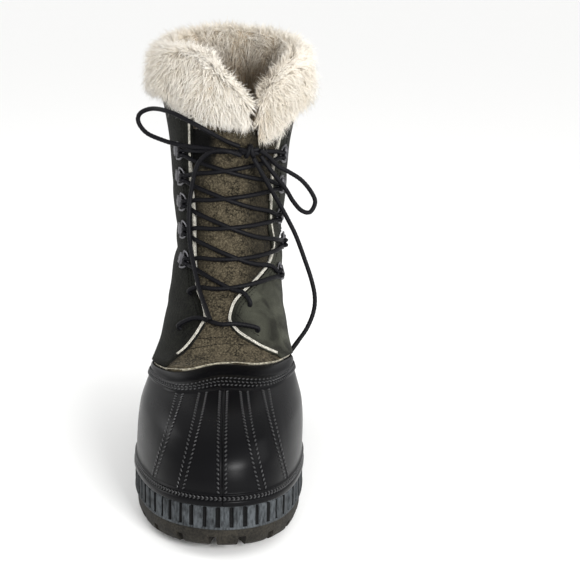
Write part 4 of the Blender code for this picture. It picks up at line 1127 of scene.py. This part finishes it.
def cuff_surface(turn, share):
    """Points of the pile roll. share runs from its outer lower edge over the top to inside."""
    top = lerp(CUFF_FRONT_TOP, CUFF_TOP, table_curve(CUFF_RISE, turn - math.pi))
    drop = table_curve(CUFF_DROPS, turn - math.pi)
    start, end = cuff_ends()
    edge = np.minimum(turn - start, end - turn) / (end - start) * 36 / 5
    full = np.sin(np.clip(0.25 + 0.75 * edge, 0.0, 1.0) * math.pi / 2)
    angle = math.pi * (share * 1.3 - 0.15)
    out = np.cos(angle)
    crown = top - CUFF_CROWN
    z_out = lerp(drop, crown, np.clip(share / 0.38, 0.0, 1.0))
    z_in = lerp(CUFF_INNER_DROP, crown, np.clip((1 - share) / 0.38, 0.0, 1.0))
    z = np.where(share < 0.5, z_out, z_in) + np.maximum(0.0, np.sin(angle)) * CUFF_CROWN * full
    width = out * np.where(out > 0, CUFF_OUT, CUFF_IN) * full
    depth = np.where(out > 0, CUFF_OVER, -CUFF_UNDER) * np.abs(out) + width
    level = level_of(np.minimum(z, SHAFT_HEIGHT))
    base = upper_point(level, turn)
    normal = upper_normal(level, turn)
    flat = unit(np.stack([normal[..., 0], normal[..., 1], 0 * z], -1))
    return np.stack([base[..., 0], base[..., 1], z], -1) + flat * depth[..., None]


def cuff_ends():
    level = level_of(CUFF_FRONT_TOP - CUFF_CROWN)
    gap = CUFF_SPLIT_WIDTH / 2
    start = float(turn_at(level, CUFF_SPLIT - gap))
    end = float(turn_at(level, CUFF_SPLIT + gap)) + 2 * math.pi
    return start, end


def build_pile_base(pile):
    """Knitted back of the pile, a soft roll that the hair covers."""
    start, end = cuff_ends()
    turn = np.linspace(start, end, 150)[None]
    share = np.linspace(0.0, 1.0, 40)[:, None]
    outer = cuff_surface(turn + 0 * share, share + 0 * turn)
    middle = outer[[0, -1]].mean(0, keepdims=True)
    normal = grid_normals(outer)
    outer = outer - normal * 0.0012
    core = lerp(outer, middle, 0.25)
    made = walled("pile_cuff_base", outer, core, pile, slot="pile")
    # Painted shade: the base is drawn in the dark root colour, half brown, as shade between the locks
    for key, value in (("shade", 0.0), ("tint", 0.3), ("inside", 0.6)):
        set_attribute(made, key, np.full(len(made.data.vertices), value))
    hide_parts("fur_cuff")


def grid_normals(grid):
    return unit(np.cross(np.gradient(grid, axis=0), np.gradient(grid, axis=1)))


def hair_mesh(name, roots, heading, bend, lengths, widths, tint, inside, pile):
    """Tapered closed hairs: three sides, one joint and a point. bend pulls their tips."""
    count = len(roots)
    stations = np.array([0.0, 0.52, 1.0])
    sizes = np.array([1.0, 0.78])
    centre = roots[:, None] + heading[:, None] * (stations[None, :, None] * lengths[:, None, None])
    centre = centre + bend[:, None] * (stations[None, :, None] ** 2 * lengths[:, None, None])
    side = unit(np.cross(heading, dice.normal(size=(count, 3))))
    other = np.cross(unit(heading), side)
    angles = np.arange(3) * 2 * math.pi / 3
    ring = side[:, None] * np.cos(angles)[None, :, None] + other[:, None] * np.sin(angles)[None, :, None]
    radii = sizes[None, :, None, None] * widths[:, None, None, None] / 2
    rings = centre[:, :2, None] + ring[:, None] * radii
    points = np.concatenate([rings.reshape(count, 6, 3), centre[:, 2:]], 1)
    quads = np.array([[0, 1, 4, 3], [1, 2, 5, 4], [2, 0, 3, 5]])
    tips = np.array([[3, 4, 6], [4, 5, 6], [5, 3, 6], [0, 2, 1]])
    shift = np.arange(count)[:, None, None] * 7
    faces = [(group[None] + shift).reshape(-1, group.shape[1]) for group in (quads, tips)]
    made = new_piece(name, points.reshape(-1, 3), faces, pile, "pile")
    # Painted shade: the roots are drawn darker than the tips
    shade = np.broadcast_to(np.repeat([0.0, 0.62, 1.0], [3, 3, 1]), (count, 7))
    tint, inside = [np.broadcast_to(values[:, None], (count, 7)) for values in (tint, inside)]
    for key, values in (("shade", shade), ("tint", tint), ("inside", inside)):
        set_attribute(made, key, values)


def build_pile(pile):
    """Hair of the cuff, in locks: each hair leans with its lock and its tip joins the others."""
    start, end = cuff_ends()
    locks = LOCKS_AROUND * LOCKS_OVER
    row, column = np.divmod(np.arange(locks), LOCKS_AROUND)
    lock_turn = start + (end - start) * (column + dice.uniform(0.0, 1.0, locks)) / LOCKS_AROUND
    lock_share = (row + dice.uniform(0.0, 1.0, locks)) / LOCKS_OVER
    lock_tint = dice.uniform(0.0, 1.0, locks)
    lock_lean = dice.normal(0.0, 0.30, locks)
    lock_lift = dice.uniform(0.25, 0.75, locks)
    names = ("outer_side", "outer_back", "inner_back", "inner_side")
    bounds = np.linspace(start, end, 5)
    for name, low, high in zip(names, bounds, bounds[1:]):
        chosen = np.flatnonzero((lock_turn >= low) & (lock_turn < high))
        owner = np.repeat(chosen, HAIRS_PER_LOCK)
        count = len(owner)
        turn = np.clip(lock_turn[owner] + dice.normal(0.0, 0.06, count), start, end)
        share = np.clip(lock_share[owner] + dice.normal(0.0, 0.04, count), 0.0, 1.0)
        roots, normal, down, along = cuff_frame(turn, share)
        lock_root, lock_normal, lock_down, lock_along = cuff_frame(lock_turn[owner], lock_share[owner])
        length = lerp(HAIR_SHORT, HAIR_LONG, dice.uniform(size=count)) * lerp(1.0, 0.85, share)
        swirl = (np.sin(lock_turn * 9.0 + lock_share * 7.0) * 0.45 + lock_lean)[owner][:, None]
        inward = lerp(1.0, -1.0, soft_step((lock_share[owner] - 0.60) / 0.15))[:, None]
        comb = unit(lock_down * inward + lock_normal * lock_lift[owner][:, None] + lock_along * swirl)
        heading = unit(comb + dice.normal(0.0, 0.16, (count, 3)))
        to_lock = (lock_root - roots) * 0.72 / length[:, None]
        bend = to_lock + np.array([0.0, 0.0, -0.12]) + dice.normal(0.0, 0.12, (count, 3))
        width = lerp(HAIR_THIN, HAIR_THICK, dice.uniform(size=count))
        # Painted light: the front of the cuff is drawn whiter, where the light falls
        front_painted_light = np.exp(-((turn - math.pi - 0.25) / 0.55) ** 2)
        tint = np.clip(lock_tint[owner] * 0.45 + dice.uniform(0.0, 0.35, count) + front_painted_light * 0.35, 0.0, 1.0)
        length = length * lerp(0.55, 1.0, np.clip(share / 0.12, 0.0, 1.0))
        # Painted shade: hair inside the roll, below its top, is drawn brown
        inside = soft_step((share - 0.55) / 0.20) * soft_step((0.330 - roots[:, 2]) / 0.035)
        roots = roots - normal * 0.0016
        hair_mesh("pile_" + name, roots, heading, bend, length * 0.8, width, tint, inside, pile)


def cuff_frame(turn, share):
    """Root, outward direction, combed direction and direction round the boot on the roll."""
    small = 0.01
    root = cuff_surface(turn, share)
    lower = cuff_surface(turn, np.maximum(share - small, 0.0))
    higher = cuff_surface(turn, np.minimum(share + small, 1.0))
    down = unit(lower - higher)
    start, end = cuff_ends()
    ahead = np.minimum(turn + small, end)
    behind = np.maximum(turn - small, start)
    along = unit(cuff_surface(ahead, share) - cuff_surface(behind, share))
    normal = unit(np.cross(along, down))
    flat = unit((root - np.array([0.0, -0.022, 0.0])) * np.array([1.0, 1.0, 0.0]))
    angle = math.pi * (share * 1.3 - 0.15)
    wanted = flat * np.cos(angle)[:, None] + np.sin(angle)[:, None] * np.array([0.0, 0.0, 1.0])
    flip = np.where(np.einsum("ij,ij->i", normal, wanted) < 0, -1.0, 1.0)
    return root, normal * flip[:, None], down, along


# Rings and lace


def ring_frame(height, distance, sign):
    """Place of a lace ring: towards the throat, upwards or downwards, and out."""
    level = level_of(height_at(height))
    turn = turn_at(level, sign * distance * BALL_WIDTH)
    out = upper_normal(level, turn)
    step = 0.01 * sign
    along = unit(upper_point(level, turn + step) - upper_point(level, turn - step))
    along = unit(along - out * (along @ out))
    up = np.cross(out, along)
    origin = upper_offset(level, turn, QUARTER_FACE + 0.0006)
    return origin, along, up * (-sign), out


def tube(path, radius, sides=12, braid=0.0):
    """Points and faces of a round bar along a path. braid raises a braid on it."""
    ahead = unit(np.gradient(path, axis=0))
    side = np.zeros_like(path)
    current = unit(np.cross(ahead[0], (0.13, 0.29, 0.95)))
    for i, direction in enumerate(ahead):
        current = unit(current - direction * (current @ direction))
        side[i] = current
    other = np.cross(ahead, side)
    lengths = lengths_along(path)
    angles = np.arange(sides) * 2 * math.pi / sides
    s = lengths[:, None] / BRAID_PITCH * 2 * math.pi
    weave = np.maximum(np.sin(s + 4 * angles[None]), np.sin(s - 4 * angles[None] + math.pi))
    size = radius * (1 + braid * weave)
    rings = path[:, None] + size[..., None] * (
        side[:, None] * np.cos(angles)[None, :, None] + other[:, None] * np.sin(angles)[None, :, None])
    rows = len(path)
    points = np.concatenate([rings.reshape(-1, 3), path[:1], path[-1:]])
    c = np.arange(sides)
    n = (c + 1) % sides
    last = (rows - 1) * sides
    caps = np.concatenate([
        np.stack([n, c, np.full(sides, rows * sides)], -1),
        np.stack([last + c, last + n, np.full(sides, rows * sides + 1)], -1),
    ])
    faces = [grid_faces(rows, sides, True), caps]
    return points, outward(points, faces)


def smooth_route(points, step):
    """Points about one step apart on a smooth curve through the route's points."""
    points = np.asarray(points, float)
    ends = np.concatenate([2 * points[:1] - points[1:2], points, 2 * points[-1:] - points[-2:-1]])
    u = (np.arange(16) / 16)[:, None]
    fine = []
    for a, b, c, d in zip(ends, ends[1:], ends[2:], ends[3:]):
        fine.append(0.5 * (2 * b + (c - a) * u + (2 * a - 5 * b + 4 * c - d) * u ** 2
                           + (3 * b - 3 * c + d - a) * u ** 3))
    fine = np.concatenate([*fine, points[-1:]])
    return evenly(fine, step)[0]


def lace_tube(path):
    """Points and faces of the lace along a path, with its braid."""
    return tube(path, LACE_DIAMETER / 2, LACE_SIDES, BRAID_DEPTH)


def build_rings(metal):
    """Lace rings: bent wire in a folded clip with its rivet."""
    for side, rings, sign in (("outer", RINGS_OUTER, -1), ("inner", RINGS_INNER, 1)):
        for i, (height, distance) in enumerate(rings):
            origin, along, up, out = ring_frame(height, distance, sign)
            turn = np.stack([along, up, out])
            half = RING_WIDTH / 2
            angles = np.radians(np.linspace(-90, 90, 25))
            bow = np.stack([RING_REACH * np.cos(angles) ** 0.75, half * np.sin(angles), 0 * angles], -1)
            straight = np.stack([0 * angles[:7], np.linspace(half * 0.9, -half * 0.9, 7), 0 * angles[:7]], -1)
            loop = np.concatenate([bow, straight, bow[:1]])
            wire = tube(evenly(loop, 0.0007)[0] + [0, 0, WIRE_LIFT], RING_WIRE / 2, 10)
            bend = np.radians(np.linspace(210, -60, 14))
            fold = np.stack([0.0019 * np.cos(bend), 0 * bend, WIRE_LIFT + 0.0017 * np.sin(bend)], -1)
            upper_leaf = [[-0.0075, 0, 0.0009], [-0.005, 0, 0.0009], [-0.003, 0, 0.0009]]
            lower_leaf = [[0.0, 0, 0.0002], [-0.003, 0, 0.0001], [-0.0075, 0, 0.0001]]
            strap = np.concatenate([upper_leaf, fold, lower_leaf])
            across = np.tile([0.0, 1.0, 0.0], (len(strap), 1))
            lift = unit(np.cross(np.gradient(strap, axis=0), across))
            width = RING_WIDTH * 0.31
            section = [(-width, 0.00035), (width, 0.00035), (width, -0.00035), (-width, -0.00035)]
            clip = swept(strap, across, lift, section)
            rivet_path = np.array([[-0.0052, 0, 0.0005], [-0.0052, 0, 0.0016], [-0.0052, 0, 0.0019]])
            rivet = tube(rivet_path, 0.0018, 14)
            points, faces = merged([wire, clip, rivet])
            points = points @ turn + origin
            ring = new_piece(f"ring_{side}_{i + 1}", points, outward(points, faces), metal, "nickel")
            ring.data.set_sharp_from_angle(angle=math.radians(50))
            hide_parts(f"lace_ring_{side}_{i + 1}")


def strand(start, end):
    """Lace between two places. It lies on the quarters' edges and dips over the tongue."""
    low = LACE_DIAMETER / 2 + STRAND_CLEARANCE
    high = low + QUARTER_FACE
    shares = np.array(STRAND_SHARES)[:, None]
    straight = lerp(start[None], end[None], shares)
    height = (straight[:, 2] - SHELL_HEIGHT) / (SHAFT_HEIGHT - SHELL_HEIGHT)
    outer = -table_curve(THROAT, height, 1) * BALL_WIDTH
    inner = table_curve(THROAT, height, 2) * BALL_WIDTH
    margin = np.minimum(straight[:, 0] - outer, inner - straight[:, 0])
    inside = np.clip(margin / (LACE_DIAMETER * 2), 0.0, 1.0)
    return front_point(straight[:, 0], straight[:, 2], lerp(high, low, inside ** 2))


def ring_hook(height, distance, sign, rise):
    """Points that take the lace over the ring's wire and down inside it."""
    origin, along, up, out = ring_frame(height, distance, sign)
    reach = RING_REACH + RING_WIRE / 2 + 0.0004
    rows = ((reach, rise, WIRE_LIFT), (reach - 0.0018, rise, RING_LIFT + 0.0022),
            (reach - 0.0042, rise * 0.6, RING_LIFT + 0.0004))
    return np.array([origin + along * a + up * b + out * c for a, b, c in rows])


def build_lace(cord):
    """Crossings, bars and the strands to the knot, each a braided tube through its rings."""
    over = QUARTER_FACE + LACE_DIAMETER / 2 + BAR_CLEARANCE
    side_step = LACE_DIAMETER / 2 + 0.0004

    def hole_dip(height, distance, sign):
        x = np.array([sign * distance * BALL_WIDTH])
        z = np.array([height_at(height)])
        above = front_point(x, z, np.array([over]))
        return np.concatenate([above, front_point(x, z - 0.001, np.array([-0.001]))])

    routes = {"outer": [hole_dip(*HOLES_OUTER[1], -1)], "inner": [hole_dip(*HOLES_INNER[1], 1)]}
    arrive = {"outer": [None], "inner": [None]}
    for side, rings, sign in (("outer", RINGS_OUTER, -1), ("inner", RINGS_INNER, 1)):
        for height, distance in rings:
            routes[side].append(ring_hook(height, distance, sign, side_step))
            arrive[side].append(ring_hook(height, distance, sign, -side_step))

    low_bar = [hole_dip(*HOLES_OUTER[0], -1)[::-1]]
    bar_x = np.array([share * BALL_WIDTH for height, share in BAR_BEND])
    bar_z = np.array([height_at(height) for height, share in BAR_BEND])
    low_bar.append(front_point(bar_x, bar_z, np.full(3, over)))
    low_bar.append(hole_dip(*HOLES_INNER[0], 1))
    made = lace_tube(smooth_route(np.concatenate(low_bar), ROUTE_STEP))
    piece = new_piece("lace_bar_low", *made, cord, "lace")
    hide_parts("lace_crossing_low")

    for i in range(5):
        parts = []
        for first, second in (("outer", "inner"), ("inner", "outer")):
            leaving = routes[first][i][::-1]
            coming = arrive[second][i + 1]
            path = np.concatenate([leaving, strand(leaving[-1], coming[0]), coming])
            parts.append(lace_tube(smooth_route(path, ROUTE_STEP)))
        piece = new_piece(f"lace_crossing_row_{i + 1}", *merged(parts), cord, "lace")
        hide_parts(f"lace_crossing_{i + 1}")

    parts = []
    for side, sign in (("outer", -1), ("inner", 1)):
        leaving = routes[side][5][::-1]
        target = np.array(KNOT) + (sign * 0.004, -0.001, -0.001)
        straight = lerp(leaving[-1][None], target[None], np.array([[0.3], [0.6], [0.85]]))
        between = front_point(straight[:, 0], straight[:, 2], np.array([0.0046, 0.0040, 0.0036]))
        path = np.concatenate([leaving, between, target[None]])
        parts.append(lace_tube(smooth_route(path, ROUTE_STEP)))
    new_piece("lace_to_knot", *merged(parts), cord, "lace")


def build_knot(cord):
    """Bow knot: two turns of the lace wrapped round its middle."""
    parts = []
    for lean, size, shift in ((0.35, 0.0040, -0.0014), (-0.25, 0.0042, 0.0016)):
        angle = np.linspace(0.0, 2 * math.pi * 1.05, 60)
        wrap = np.stack([shift + np.sin(angle * 0.5) * 0.001 + lean * size * np.sin(angle),
                         size * 0.75 * np.cos(angle), size * np.sin(angle)], -1)
        parts.append(lace_tube(wrap + KNOT))
    for height in (0.0016, -0.0018):
        across = np.array([[-0.0075, 0.0005, height], [-0.002, -0.001, height * 0.4],
                           [0.002, -0.001, -height * 0.4], [0.0075, 0.0005, -height]])
        parts.append(lace_tube(smooth_route(across + KNOT, ROUTE_STEP)))
    knot = new_piece("bow_knot", *merged(parts), cord, "lace")
    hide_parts("lace_knot")


def build_cords(cord, plastic):
    """Two loops and two ends of the bow as braided tubes, with a plastic tip sleeve on each end."""
    for name, node, points in (("bow_loop_outer", "lace_loop_outer", LOOP_OUTER),
                               ("bow_loop_inner", "lace_loop_inner", LOOP_INNER)):
        path = smooth_route(points, ROUTE_STEP)
        loop = new_piece(name, *lace_tube(path), cord, "lace")
        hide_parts(node)
    for side, points in (("outer", END_OUTER), ("inner", END_INNER)):
        path = smooth_route(points, ROUTE_STEP)
        end = new_piece("bow_end_" + side, *lace_tube(path), cord, "lace")
        heading = unit(path[-1] - path[-8])
        shares = np.array([-0.05, 0.0, 0.1, 0.6, 0.9, 1.0])[:, None] * TIP_LENGTH
        tip_path = path[-1] + heading * (shares + 0.0003)
        made = tube(tip_path, TIP_RADIUS, LACE_SIDES)
        tip = new_piece("lace_tip_sleeve_" + side, *made, plastic, "lace_tip")
        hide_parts("lace_end_" + side)
        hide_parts("lace_tip_" + side)


# Studio


def build_camera():
    camera = bpy.data.objects.new("camera", bpy.data.cameras.new("camera"))
    camera.data.lens = LENS
    camera.data.sensor_width = 36.0
    yaw = Matrix.Rotation(math.radians(CAMERA_YAW), 4, "Z")
    tilt = Matrix.Rotation(math.radians(CAMERA_TILT), 4, "X")
    roll = Matrix.Rotation(math.radians(CAMERA_ROLL), 4, "Z")
    camera.matrix_world = Matrix.Translation(CAMERA_PLACE) @ yaw @ tilt @ roll
    bpy.context.scene.collection.objects.link(camera)
    bpy.context.scene.camera = camera


def build_light(name, place, size, power):
    """Soft box that faces the boot."""
    light = bpy.data.lights.new(name, "AREA")
    light.shape = "RECTANGLE"
    light.size, light.size_y = size
    light.energy = power
    made = bpy.data.objects.new(name, light)
    aim = Vector((0.0, -0.08, 0.15)) - Vector(place)
    made.matrix_world = Matrix.Translation(place) @ aim.to_track_quat("-Z", "Y").to_matrix().to_4x4()
    bpy.context.scene.collection.objects.link(made)


def build_studio():
    """Plain pale floor and soft light from above and both sides."""
    made, tree, shader, place = start_material("painted_floor", 0.9)
    shader.inputs["Base Color"].default_value = linear("#f4f4f3")
    mesh = bpy.data.meshes.new("floor")
    mesh.from_pydata([(-60, -60, 0), (60, -60, 0), (60, 60, 0), (-60, 60, 0)], [], [(0, 1, 2, 3)])
    mesh.materials.append(made)
    floor = bpy.data.objects.new("floor", mesh)
    bpy.context.scene.collection.objects.link(floor)
    world = bpy.data.worlds.new("studio")
    world.use_nodes = True
    world.node_tree.nodes["Background"].inputs["Color"].default_value = linear("#ffffff")
    world.node_tree.nodes["Background"].inputs["Strength"].default_value = 1.04
    bpy.context.scene.world = world
    bpy.context.scene.view_settings.view_transform = "Standard"
    build_light("key", (0.50, -1.30, 0.60), (0.44, 0.30), 17.0)
    build_light("side", (1.2, -0.5, 0.7), (0.6, 0.9), 4.0)
    build_light("back", (-1.3, 0.35, 0.8), (0.5, 0.8), 5.0)


build_camera()
build_studio()
rubber = moulded_rubber("vulcanised_rubber", "#030304", "#08080a", 0.08)
# The stitches are paler than the rubber round them, as painted highlight on the raised pips and partly as
# wear
stitched = moulded_rubber("vulcanised_rubber_stitches_worn_and_painted_highlight", "#0c0c0d", "#202022", 0.5)
# The ribbed band and the tread are paler at the front as painted light
ribbed = rubber_with_dust_and_painted_light("ribbed_rubber_dust_and_painted_light", "#08090a", "#474b4e", 0.3)
# The slots' rubber is near black, as painted shade in the slots
slots = rubber_with_dust_and_painted_light("ribbed_rubber_in_slots_painted_shade", "#020203", "#08090a", 1.0)
tread = rubber_with_dust_and_painted_light("tread_rubber_dust_and_painted_light", "#0a0908", "#2e2b25", 1.0)
# The quarters' suede is drawn near black, darker than its own olive grey, as painted shade of the unlit side
dark_suede = suede("oiled_suede", "#040403", "#0f100c", "#1d1e18", 24.0, 0.03)
brown_suede = suede("brushed_suede", "#17140e", "#3a3429", "#655d4b", 9.0, 0.05)
cut_edge = fibrous("cut_leather_edge", "#77736a", "#cbc8bd", 1.6, 0.6)
hem_edge = fibrous("cut_suede_edge", "#4d4838", "#b3ad9a", 2.2, 0.6)
thread = braided_polyester("waxed_thread", "#060606", "#161613")
felt = fibrous("wool_felt", "#8f806a", "#cfc3ae", 2.2, 0.7)
pile = pile_fibre()
nickel = dark_nickel()
cord = braided_polyester("braided_polyester", "#020203", "#141418")
plastic = braided_polyester("heat_shrunk_sleeve", "#050506", "#141416")
build_rubber_lower(rubber, stitched)
build_ribbed_band(ribbed, slots)
build_outsole(tread)
build_quarters(dark_suede)
build_vamp(brown_suede)
build_edges(cut_edge, hem_edge, thread)
build_liner(felt)
build_pile_base(pile)
build_pile(pile)
build_rings(nickel)
build_lace(cord)
build_knot(cord)
build_cords(cord, plastic)
